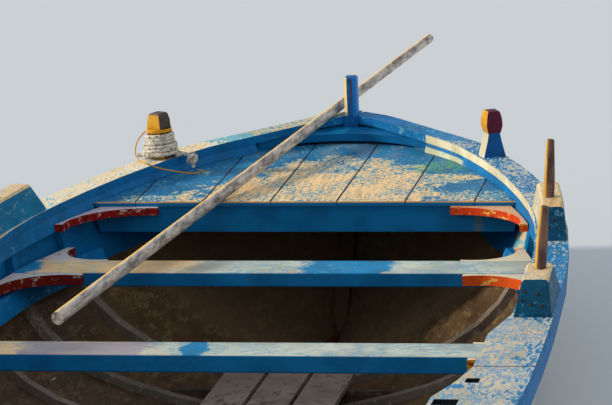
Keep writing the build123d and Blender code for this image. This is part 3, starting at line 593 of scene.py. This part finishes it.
def side_lengths(triangles):
    return np.linalg.norm(triangles - np.roll(triangles, -1, axis=1), axis=2)


def seam_ribbons(name):
    """Along each triangle of a plank's edge or end, a ribbon at half the plank's thickness: it joins the
    middles of the triangle's shortest and longest sides, and stands caulk_reach either way into the seam.
    Broad triangles have no side under broad_side. Edges are the triangles that lie across the nearest
    broad one, or face a post, whose side is within post_half of the middle."""
    mesh = nodes[name].data
    mesh.calc_loop_triangles()
    corner = read(mesh.vertices, "co", 3, np.float32).astype(float)
    sides = corner[read(mesh.loop_triangles, "vertices", 3, np.int32)]
    normal = np.cross(sides[:, 1] - sides[:, 0], sides[:, 2] - sides[:, 0])
    size = np.linalg.norm(normal, axis=1)
    whole = size > 1e-7
    sides, normal = sides[whole], normal[whole] / size[whole][:, None]
    middle = sides.mean(1)
    broad = side_lengths(sides).min(1) > broad_side
    gap = np.linalg.norm(middle[:, None] - middle[None, broad], axis=2)
    facing = normal[broad][gap.argmin(1)]
    at_post = (np.abs(normal[:, 0]) > 0.9) & (np.abs(middle[:, 0]) < post_half)
    keep = (np.abs((normal * facing).sum(1)) < 0.5) | at_post
    sides, normal = sides[keep], normal[keep]
    middles = (sides + np.roll(sides, -1, axis=1)) / 2
    order = np.argsort(side_lengths(sides), axis=1)
    pick = np.arange(len(sides))
    first, second = middles[pick, order[:, 0]], middles[pick, order[:, 2]]
    off = normal * caulk_reach
    points = np.stack([first - off, second - off, second + off, first + off], 1).reshape(-1, 3)
    return points, np.arange(len(points)).reshape(-1, 4).tolist()


def caulk_finish():
    finish = Finish("dark_caulk")
    thread = finish.noise(160.0)
    colour = finish.mix(thread.rise(0.35, 0.7), shade(30, 26, 24), shade(74, 66, 58))
    return finish.end(colour, 0.9, thread)


caulking = mesh_piece("plank_caulking", *joined([
    seam_ribbons(name) for name in both("bottom_strakes", "topside_strakes", "second_strake", "sheer_strake")
]), caulk_finish(), False)
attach(caulking, "root")

# Rails: the rubbing strake, caps, inwale and risers are blue, with painted sunlight on a cream band of the
# starboard inwale. The covering boards are flecked: with old blue, white and peach to starboard, where their
# inner edge is painted cream as sunlit, and bleached to tan to port.
RAIL_WOOD = shade(150, 120, 92)
CHALKED_BLUE = shade(104, 160, 190)
thole_holes_across = (0.735, 0.853)
thole_holes_along = (-0.540, -0.265)
board_butt = -0.170


def board_finish():
    finish = Finish("flecked_board_paint")
    # less bare at the bow, and bluer between the thwarts: fewer flecks there, and a painted shadow of the
    # thole block
    fresh = finish.y.rise(2.38, 2.50) * 0.24
    fresh = fresh + finish.y.rise(0.45, 0.55) * (1 - finish.y.rise(1.0, 1.15)) * 0.10
    blue, rough, height = old_paint(finish, shade(34, 132, 188), shade(200, 208, 200), shade(226, 188, 144),
                                    0.25 - fresh, "y", 95.0, 5.0, 0.05)
    tan = paint_colour(finish, shade(120, 196, 212), shade(252, 244, 220), shade(252, 218, 164),
                       0.42 - fresh, "y", 80.0, 4.0, 0.06)
    pale = paint_colour(finish, shade(222, 206, 178), shade(70, 158, 204), shade(250, 200, 146),
                        0.24, "y", 75.0, 5.0, 0.06)
    patches = finish.noise(5.5, (1, 0.55, 1), 4.0, 0.6) + finish.noise(60.0, (1, 0.4, 1), 4.0, 0.7) * 0.35
    aft_patches = (1 - finish.y.rise(0.1, 0.4)) * patches.rise(0.66, 0.70)
    top = finish.by_side(tan, finish.mix(aft_patches, blue, pale))
    # the edges: blue outboard, and inboard blue to port and cream to starboard, where the cream is painted
    # sunlight on faces turned to port
    outer = paint_colour(finish, SHADE_BLUE, shade(110, 162, 190), RAIL_WOOD, 0.08, "y", 60.0)
    inner_port = paint_colour(finish, SHADE_BLUE, shade(52, 130, 176), shade(120, 100, 80), 0.0, "y", 46.0)
    sunlit_inner_starboard = paint_colour(finish, shade(246, 234, 196), shade(226, 206, 150), shade(140, 180, 190),
                                   0.04, "y", 46.0)
    toward = finish.x * finish.face_x
    side = finish.mix(toward.rise(0.0, -0.05), outer, finish.by_side(inner_port, sunlit_inner_starboard))
    # the thole holes through the wide board are painted dark inside as shade; its butt is a dark joint
    hole_shade = abs(finish.x).within(*thole_holes_across, 0.003) * finish.y.within(*thole_holes_along, 0.005)
    side = finish.mix(hole_shade, side, shade(20, 26, 34))
    wander = (finish.noise(20.0) - 0.5) * 0.003
    butt = 1 - abs(finish.y - board_butt + wander).rise(0.0020, 0.0044)
    top = finish.mix(butt * 0.95, top, shade(34, 38, 44))
    return finish.end(finish.mix(finish.face_z.rise(0.5, 0.8), side, top), rough, height)


def rub_finish():
    finish = Finish("rubbing_strake_paint")
    blue, rough, height = old_paint(finish, SHADE_BLUE, CHALKED_BLUE, RAIL_WOOD, finish.noise(4.0) * 0.10,
                                    "y", 60.0)
    top = paint_colour(finish, shade(120, 150, 172), shade(206, 206, 196), shade(176, 150, 122), 0.30,
                       "y", 90.0)
    return finish.end(finish.mix(finish.face_z.rise(0.5, 0.8), blue, top), rough, height)


def cap_finish():
    """Blue, with a tan-flecked top to port."""
    finish = Finish("cap_blue_paint")
    blue, rough, height = old_paint(finish, SHADE_BLUE, shade(74, 164, 196), RAIL_WOOD, 0.10, "y", 60.0)
    port = paint_colour(finish, shade(86, 168, 192), shade(206, 200, 168), shade(214, 170, 112), 0.34,
                        "y", 70.0, 5.0)
    worn = (1 - finish.x.rise(-0.04, 0.0)) * finish.face_z.rise(0.5, 0.8)
    return finish.end(finish.mix(worn, blue, port), rough, height)


def inwale_finish():
    """Blue, with a cream band to starboard at the foredeck, just below the planking's top edge: cream paint
    with painted sunlight on it, kept blue above and aft where shade falls.
    """
    finish = Finish("inwale_paint")
    blue, rough, height = old_paint(finish, SHADE_BLUE, shade(64, 150, 190), RAIL_WOOD, 0.04, "y", 60.0)
    cream = paint_colour(finish, shade(236, 230, 184), shade(170, 214, 196), shade(120, 180, 120), 0.10,
                         "y", 50.0)
    # the band is where the sun falls: painted sunlight over cream paint
    fore = (finish.y + (finish.noise(18.0) - 0.5) * 0.2).rise(2.28, 2.34)
    band = finish.x.rise(0.1, 0.2) * fore * (rail_height(finish) - finish.z).rise(0.010, 0.013)
    return finish.end(finish.mix(band * 0.9, blue, cream), rough, height)


def riser_finish():
    finish = Finish("riser_blue_paint")
    colour, rough, height = old_paint(finish, SHADE_BLUE, CHALKED_BLUE, RAIL_WOOD,
                                      0.02 + finish.noise(4.0) * 0.12, "y", 60.0)
    return finish.end(colour, rough, height)


dress(rub_finish(), *both("rubbing_strake"))
dress(board_finish(), *both("covering_board_fore", "covering_board_aft"))
dress(cap_finish(), *both("bow_cap", "stern_cap"))
dress(inwale_finish(), *both("inwale"))
dress(riser_finish(), *both("riser"))

# Decks: straight planks with open seams, nailed to their beams. Their blue paint is flaked over the
# whole deck, and walked off down to the peach-grey wood across its middle and after part.
DEEP_BLUE = shade(2, 112, 170)
king_width = 0.216
deck_plank = 0.222
nails_per_plank = 3
nail_rows = (1.824, 2.244)
nail_radius = 0.003
highlight_corner = 0.3995  # height at which the painted highlight on the open edge's upper corner starts
trodden = [  # (centre, reach, raggedness, strength) of each place where the paint is walked off
    ((0.02, 1.88), (0.42, 0.34), 0.35, 1.0),
    ((0.04, 2.22), (0.26, 0.22), 0.4, 0.8),
    ((0.30, 2.12), (0.22, 0.08), 0.4, 0.9),
    ((-0.45, 1.83), (0.16, 0.06), 0.4, 0.7),
    ((0.55, 1.86), (0.12, 0.10), 0.5, 0.55),
    ((0.0, -2.1), (0.4, 0.3), 0.4, 1.0),
]


def deck_finish():
    finish = Finish("deck_paint")
    colour, rough, height = old_paint(finish, shade(18, 124, 178), shade(128, 176, 184), shade(255, 216, 160),
                                      0.13 + finish.spots(trodden) * 0.37, "y", 100.0, 7.0, 0.07)
    specks = finish.noise(240.0, (1, 0.5, 1), 2.0).rise(0.64, 0.68)
    colour = finish.mix(specks * 0.8, colour, shade(44, 60, 84))
    grey = finish.y.rise(2.28, 2.55) * finish.noise(16.0, (1, 0.5, 1), 4.0).rise(0.40, 0.6)
    colour = finish.mix(grey * 0.5, colour, shade(116, 140, 152))
    moss = finish.noise(80.0, (1, 0.5, 1), 5.0, 0.75).rise(0.49, 0.53)
    green = finish.spot((0.41, 2.30), (0.13, 0.10), 0.5) * moss
    colour = finish.mix(green * 0.75, colour, shade(96, 172, 92))
    # nails over the open edge's beam and the inner one, with rust round some of them
    half_pitch = deck_plank / nails_per_plank / 2
    across = (finish.x + half_pitch).fold(half_pitch)
    along = abs(finish.y - nail_rows[0]).least(abs(finish.y - nail_rows[1]))
    square = across * across + along * along
    nail = 1 - square.rise(nail_radius ** 2, (1.5 * nail_radius) ** 2)
    colour = finish.mix(nail, colour, shade(36, 34, 38))
    rust = (1 - square.rise(0.004 ** 2, 0.012 ** 2)) * finish.noise(40.0).rise(0.5, 0.6)
    colour = finish.mix(rust * 0.6, colour, shade(126, 84, 60))
    # the seams are dark; the open edge is blue, with a painted highlight in peach along its upper corner
    wander = finish.noise(30.0, detail=4.0) * 0.004
    seam = (abs(finish.x) - king_width / 2).fold(deck_plank / 2)
    colour = finish.mix((1 - (seam - wander).rise(0.0008, 0.0022)) * 0.85, colour, shade(14, 60, 96))
    colour = finish.mix(abs(finish.face_x).rise(0.5, 0.8), colour, shade(26, 32, 40))
    edge = (finish.y * finish.face_y).rise(-0.5, -0.9)
    corner = finish.z.rise(highlight_corner, highlight_corner + 0.002)
    colour = finish.mix(edge, colour, finish.mix(corner, DEEP_BLUE, shade(236, 186, 120)))
    return finish.end(colour, rough, height)


dress(deck_finish(), "foredeck", "aft_deck")


# Deck beams and breasthook: one clean coat of deep blue, brushed along the grain, with a rust run
# below the starboard knee.
def beam_finish():
    finish = Finish("deep_blue_paint")
    colour, rough, height = old_paint(finish, DEEP_BLUE, shade(14, 108, 160), shade(70, 60, 50), -0.14,
                                      "x", 30.0)
    run = (1 - abs(finish.x - 0.562).rise(0.004, 0.024)) * finish.y.rise(1.75, 1.79)
    run = run * finish.noise(40.0, GRAIN["z"]).rise(0.3, 0.6)
    colour = finish.mix(run * 0.5, colour, shade(104, 110, 60))
    return finish.end(colour, rough, height, 0.0006)


dress(beam_finish(), "breasthook", "foredeck_beam", "foredeck_inner_beam", "aft_deck_beam")

# Thwarts: pine planks in clean blue on their faces. Their tops are worn through cream, tan and blue
# coats, tan to port and pale to starboard, with a fresher blue patch amidships on the fore one.
fresh_blue = [  # (centre, reach, raggedness, strength) of each patch where the blue is whole
    ((0.215, 1.316), (0.145, 0.16), 0.4, 1.0),
    ((-0.83, 1.316), (0.09, 0.12), 0.3, 1.0),
    ((-0.06, 0.408), (0.04, 0.10), 0.4, 1.0),
    ((0.1, -0.49), (0.16, 0.1), 0.5, 1.0),
    ((0.30, -1.42), (0.16, 0.18), 0.5, 1.0),
]


def thwart_finish():
    finish = Finish("thwart_paint")
    cream, rough, height = old_paint(finish, shade(206, 212, 198), shade(130, 176, 196), shade(226, 188, 136),
                                     0.20, "x", 60.0, 6.0, 0.05)
    tan = paint_colour(finish, shade(255, 212, 152), shade(166, 196, 196), shade(244, 184, 116),
                       0.14, "x", 70.0, 5.0, 0.05)
    blue = paint_colour(finish, shade(18, 140, 198), shade(120, 180, 204), shade(216, 190, 150),
                        0.04, "x", 60.0)
    drift = (finish.noise(3.0) - 0.5) * 0.5
    top = finish.mix((finish.x + drift).rise(-0.34, -0.10), tan, cream)
    top = finish.mix(finish.spots(fresh_blue), top, blue)
    grey = finish.noise(50.0, GRAIN["x"], 5.0).rise(0.30, 0.44)
    bare = finish.spot((-0.37, 0.408), (0.20, 0.16), 0.35) * grey
    top = finish.mix(bare * 0.85, top, shade(156, 150, 162))
    sides = paint_colour(finish, DEEP_BLUE, shade(30, 118, 166), shade(90, 74, 60), -0.10, "x", 34.0)
    return finish.end(finish.mix(finish.face_z.rise(0.4, 0.7), sides, top), rough, height)


dress(thwart_finish(), "thwart_fore", "thwart_middle", "thwart_aft", "stern_bench")


# Knees: grown crooks, nailed through. Those to port are dark red under a lavender-grey top, those to
# starboard orange and yellow under a cream one.
def knee_finish(name, face_port, face_starboard, top_port, top_starboard):
    """The top is worn to its ground coat, and the face to its dark and its pale primer. Aft of the
    fore thwart the starboard faces turn yellow, and the starboard tops' inboard ends orange."""
    finish = Finish(name)
    starboard = finish.x.rise(-0.1, 0.1)
    worn = finish.noise(34.0, (1, 1, 1), 6.0, 0.7)
    dark = finish.noise(70.0, (1, 1, 0.5), 5.0, 0.7)
    inboard_end = starboard * (1 - (finish.x + (worn - 0.5) * 0.2).rise(0.46, 0.62))
    top = finish.mix(inboard_end * 0.8, finish.by_side(top_port, top_starboard), shade(236, 132, 62))
    ground = finish.by_side(shade(120, 34, 26), shade(206, 96, 44))
    top = finish.mix(worn.rise(0.58, 0.66) * 0.8, top, ground)
    yellow = starboard * (1 - finish.y.rise(0.7, 0.8))
    face = finish.mix(yellow * 0.7, finish.by_side(face_port, face_starboard), shade(244, 176, 36))
    face = finish.mix(dark.rise(0.56, 0.64), face, finish.by_side(shade(60, 24, 22), shade(150, 40, 14)))
    primer = finish.by_side(shade(206, 176, 160), shade(244, 196, 96))
    face = finish.mix(finish.noise(45.0, (0.4, 1, 1), 5.0, 0.7).rise(0.56, 0.62), face, primer)
    colour = finish.mix(finish.face_z.rise(0.4, 0.7), face, top)
    return finish.end(colour, 0.55 + 0.2 * worn, worn + dark * 0.5, 0.0012)


dress(knee_finish("red_knee_paint", shade(140, 16, 10), shade(226, 68, 16), shade(196, 184, 196),
                  shade(226, 176, 136)),
      "deck_knee_port", "deck_knee_starboard")
dress(knee_finish("orange_knee_paint", shade(112, 18, 12), shade(232, 88, 18), shade(206, 200, 200),
                  shade(228, 214, 186)),
      "thwart_fore_knees", "thwart_middle_knees", "thwart_aft_knees")


# Frames, floor timbers and bottom boards: sawn, and oiled long ago. The frames are painted blue with
# the planks near the rail, and the bottom boards are worn pinkish grey.
def timber_finish(name, tone, dark, grain):
    finish = Finish(name)
    colour, rough, height = old_paint(finish, tone, dark, shade(92, 72, 56), 0.14 + finish.noise(6.0) * 0.15,
                                      grain, 40.0)
    return finish.end(colour, rough, height)


def frame_finish():
    finish = Finish("frame_timber")
    below = rail_height(finish) - finish.z
    timber, rough, height = old_paint(finish, shade(126, 112, 98), shade(152, 140, 124), shade(84, 68, 56),
                                      0.14, "z", 40.0)
    blue = paint_colour(finish, SHADE_BLUE, WORN_BLUE, shade(120, 100, 80), 0.04, "z", 50.0)
    return finish.end(finish.mix(1 - below.rise(*blue_drop), timber, blue), rough, height)


dress(frame_finish(), *both("frames"))
dress(timber_finish("floor_timber", shade(78, 62, 50), shade(104, 90, 76), "x"), "floor_timbers")
dress(timber_finish("bottom_board_wood", shade(168, 146, 134), shade(134, 116, 108), "y"), "bottom_boards")


# Thole blocks: hardwood, bolted through the covering board. Their faces toward the sea and the ends
# are blue, painted brighter to port as light and deeper to starboard as shade; their tops are bleached,
# and the starboard ones' inboard faces are painted cream as sunlight.
def block_finish():
    finish = Finish("block_paint")
    cream, rough, height = old_paint(finish, shade(240, 224, 182), shade(150, 190, 200), shade(214, 170, 120),
                                     0.16, "y", 70.0, 6.0, 0.05)
    # the same blue twice: deeper to starboard as painted shade, brighter to port as painted light
    deep = paint_colour(finish, shade(4, 88, 122), shade(92, 156, 180), shade(160, 128, 92),
                        0.10, "y", 60.0, 6.0, 0.05)
    bright = paint_colour(finish, shade(4, 132, 184), shade(92, 156, 190), shade(190, 150, 100),
                          0.10, "y", 40.0)
    worn = paint_colour(finish, shade(120, 172, 192), shade(236, 218, 176), shade(232, 190, 132),
                        0.46, "y", 80.0, 6.0, 0.05)
    # the starboard blocks' inboard faces, turned to port, are painted cream as sunlight
    sunlit_starboard_inner = finish.x.rise(-0.1, 0.1) * (0 - finish.face_x).rise(0.5, 0.8)
    side = finish.mix(sunlit_starboard_inner, finish.by_side(bright, deep), cream)
    return finish.end(finish.mix(finish.face_z.rise(0.25, 0.7), side, worn), rough, height)


dress(block_finish(), *both("thole_block_fore", "thole_block_middle"))

# Bolts: iron, driven fore and aft through the thole blocks. Their heads stand on the blocks' after
# faces, low, domed and rusted.
head_reach, head_rise = 0.0046, 0.0026
head_rings, head_sides = 4, 10


def bolt_head(place, out):
    """A low dome: rings whose radius is head_reach times a cosine and whose height is head_rise times
    a sine."""
    side = np.cross(out, (0.0, 0.0, 1.0))
    side /= np.linalg.norm(side)
    other = np.cross(out, side)
    lift = np.linspace(0, np.pi / 2 - 0.15, head_rings)
    angle = np.linspace(0, 2 * np.pi, head_sides, endpoint=False)
    ring = side * np.cos(angle)[:, None] + other * np.sin(angle)[:, None]
    height = out * (np.sin(lift) * head_rise)[:, None, None]
    points = place + height + ring[None, :, :] * (np.cos(lift) * head_reach)[:, None, None]
    crown = list(range((head_rings - 1) * head_sides, head_rings * head_sides))
    faces = grid_faces(head_rings, head_sides, True)[:, ::-1].tolist() + [crown[::-1]]
    return points.reshape(-1, 3), faces


def bolt_finish():
    finish = Finish("rusted_bolt")
    rust = finish.noise(300.0, detail=4.0)
    colour = finish.mix(rust.rise(0.4, 0.6), shade(34, 28, 26), shade(84, 50, 34))
    return finish.end(colour, 0.8, rust, 0.0004)


def block_bolts(name, way, places):
    """Bolt heads on a block's after face: from behind it, a ray forward finds each one's place. A place
    is how far outboard of the face's inner foot it lies, and how high above its foot."""
    mesh = nodes[name].data
    corners = read(mesh.vertices, "co", 3, np.float32).astype(float)
    surface = BVHTree.FromPolygons(corners.tolist(), [list(face.vertices) for face in mesh.polygons])
    after = corners[:, 1].min()
    foot = corners[corners[:, 1] < after + 0.02]
    inner, low = np.abs(foot[:, 0]).min(), foot[:, 2].min()
    heads = []
    for outboard, up in places:
        hit, out, _, _ = surface.ray_cast((way * (inner + outboard), after - 0.1, low + up), (0, 1, 0))
        if hit is not None:
            heads.append(bolt_head(np.array(hit), np.array(out)))
    return heads


# (outboard, up) of each bolt
bolt_places = {
    "thole_block_middle": [(0.032, 0.068), (0.068, 0.062), (0.024, 0.045), (0.049, 0.034), (0.078, 0.030)],
    "thole_block_fore": [(0.048, 0.062), (0.030, 0.040)],
}
heads = []
for name, places in bolt_places.items():
    heads += block_bolts(name + "_starboard", 1, places)
    heads += block_bolts(name + "_port", -1, places)
bolts = mesh_piece("thole_block_bolts", *joined(heads), bolt_finish())
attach(bolts, "root")


# Thole pins: turned hardwood. Their port sides are yellow as painted sunlight, and the others brown as
# painted shade.
def pin_finish():
    finish = Finish("thole_pin_wood")
    grain = finish.noise(140.0, GRAIN["z"], 4.0)
    worn = finish.noise(26.0, (1, 1, 0.4), 4.0)
    colour = finish.mix(grain.rise(0.35, 0.7), shade(232, 184, 64), shade(206, 140, 52))
    brown = finish.mix(worn.rise(0.42, 0.58), shade(92, 66, 62), shade(132, 98, 78))
    # brown on the faces turned from port is painted shade; the yellow toward port is painted sunlight
    shaded_side = (finish.face_x + (worn - 0.5) * 0.5).rise(-0.62, -0.40)
    return finish.end(finish.mix(shaded_side, colour, brown), 0.5, grain, 0.0006)


dress(pin_finish(), "thole_pin_fore_starboard", *both("thole_pin_middle"))

# Mooring posts: squared hardwood with barrel heads over a narrow neck. Each keeps two coats: maroon or
# bare wood on its head and blue or bare wood below the neck, with painted sunlight on the port faces:
# ochre on the head, and below the neck cream on the starboard post and yellow on the port one.
head_level = 0.545


def mooring_post_finish(name, head_other, foot_other, sunlit_foot_port):
    finish = Finish(name)
    sunlit_ochre, rough, height = old_paint(finish, shade(240, 176, 30), shade(204, 118, 36), shade(150, 104, 56),
                                     0.24, "z", 80.0)
    dark = paint_colour(finish, head_other, darker(head_other, 0.7), shade(126, 92, 84), 0.20, "z", 80.0)
    low = paint_colour(finish, foot_other, darker(foot_other, 0.8), shade(120, 92, 70), 0.02, "z", 60.0)
    sunlit_low_port = paint_colour(finish, sunlit_foot_port, shade(200, 190, 160), shade(150, 120, 90), 0.04, "z", 60.0)
    head = (finish.z + (finish.noise(30.0) - 0.5) * 0.006).rise(head_level, head_level + 0.003)
    # faces turned to port take the ochre and the pale foot colour as painted sunlight
    sunlit_port_side = (0 - finish.face_x).rise(0.35, 0.5)
    upper = finish.mix(sunlit_port_side, dark, sunlit_ochre)
    lower = finish.mix(sunlit_port_side, low, sunlit_low_port)
    return finish.end(finish.mix(head, lower, upper), rough, height)


dress(mooring_post_finish("starboard_post_paint", shade(104, 30, 56), shade(10, 96, 160),
                          shade(238, 226, 190)),
      "mooring_post_starboard")
dress(mooring_post_finish("port_post_paint", shade(92, 78, 74), shade(84, 70, 62), shade(206, 156, 64)),
      "mooring_post_port")


# Pole: a peeled and weathered sapling, silver-grey along its grain, with knots and dark stains. The
# side that lies up and to port is painted golden as sunlight.
def pole_finish():
    finish = Finish("weathered_pole")
    grain = finish.noise(70.0, (1, 0.05, 1), 6.0, 0.7)
    spots = finish.noise(24.0, (1, 0.5, 1), 5.0, 0.65).rise(0.54, 0.64)
    colour = finish.mix(grain.rise(0.34, 0.62), shade(136, 126, 128), shade(224, 210, 192))
    colour = finish.mix(spots * 0.55, colour, shade(92, 78, 74))
    knots = finish.noise(5.5, (1, 0.7, 1), 1.0).rise(0.70, 0.74)
    colour = finish.mix(knots * 0.7, colour, shade(70, 54, 48))
    # a golden rim of painted sunlight on the upper port side
    sunlit_golden = (finish.face_z * 0.62 - finish.face_x * 0.76 + (grain - 0.5) * 0.3).rise(0.56, 0.74)
    colour = finish.mix(sunlit_golden * 0.85, colour, shade(255, 206, 104))
    return finish.end(colour, 0.75, grain + spots * 0.3, 0.0014)


dress(pole_finish(), "pole")

# Stage: a pale floor at the waterline, cut out to the hull's own outline so that the boat stays open
# inside; a soft warm lamp low to port, and an even sky.
floor_reach = 60.0
hull_overlap = 0.008  # how far the floor's inner edge reaches in past the hull's skin
outline_step = 0.1


def waterline_cut(name):
    """Where a node's edges cross the waterline: on each edge, the place where its height is nought."""
    mesh = nodes[name].data
    corner = read(mesh.vertices, "co", 3, np.float32).astype(float)
    edge = read(mesh.edges, "vertices", 2, np.int32)
    start, end = corner[edge[:, 0]], corner[edge[:, 1]]
    cross = (start[:, 2] < 0) != (end[:, 2] < 0)
    start, end = start[cross], end[cross]
    share = start[:, 2] / (start[:, 2] - end[:, 2])
    return start + (end - start) * share[:, None]


waterline = np.vstack([waterline_cut(name) for name in (
    "bottom_strakes_starboard", "topside_strakes_starboard", "stem_post", "stern_post")])
after_end, fore_end = waterline[:, 1].min(), waterline[:, 1].max()
bins = np.round(waterline[:, 1] / outline_step).astype(int)
slices = [waterline[bins == k] for k in np.unique(bins)]
known = np.array([[part[:, 1].mean(), part[:, 0].max()] for part in slices])
stations = np.linspace(after_end + 0.01, fore_end - 0.01, 90)
half = np.interp(stations, known[:, 0], known[:, 1]) - hull_overlap
outline = np.vstack([
    np.stack([half, stations], -1),
    np.stack([-half[::-1], stations[::-1]], -1),
])
angles = np.arctan2(outline[:, 1], outline[:, 0])
far = floor_reach * np.stack([np.cos(angles), np.sin(angles)], -1)
ring = np.vstack([outline, far])
ring = np.hstack([ring, np.zeros((len(ring), 1))])
floor_finish = Finish("stage_floor")
floor_finish.shader.inputs["Base Color"].default_value = shade(214, 218, 222)
floor_finish.shader.inputs["Roughness"].default_value = 0.9
floor = mesh_piece("floor", ring, grid_faces(2, len(outline), True), floor_finish.material, False)

sun_data = bpy.data.lights.new("sun", "SUN")
sun_data.energy = 2.9
sun_data.angle = 0.12
sun_data.color = (1.0, 0.91, 0.76)
sun = bpy.data.objects.new("sun", sun_data)
sun_from = np.array([-1.0, -0.08, 0.42])
sun_back = sun_from / np.linalg.norm(sun_from)
sun_side = np.cross((0, 0, 1.0), sun_back)
sun_side /= np.linalg.norm(sun_side)
sun_up = np.cross(sun_back, sun_side)
sun.matrix_world = Matrix(np.stack([sun_side, sun_up, sun_back], 1).tolist()).to_4x4()
scene.collection.objects.link(sun)
world = bpy.data.worlds.new("sky")
world.use_nodes = True
world.node_tree.nodes["Background"].inputs["Color"].default_value = (0.84, 0.92, 1.0, 1.0)
world.node_tree.nodes["Background"].inputs["Strength"].default_value = 0.62
scene.world = world
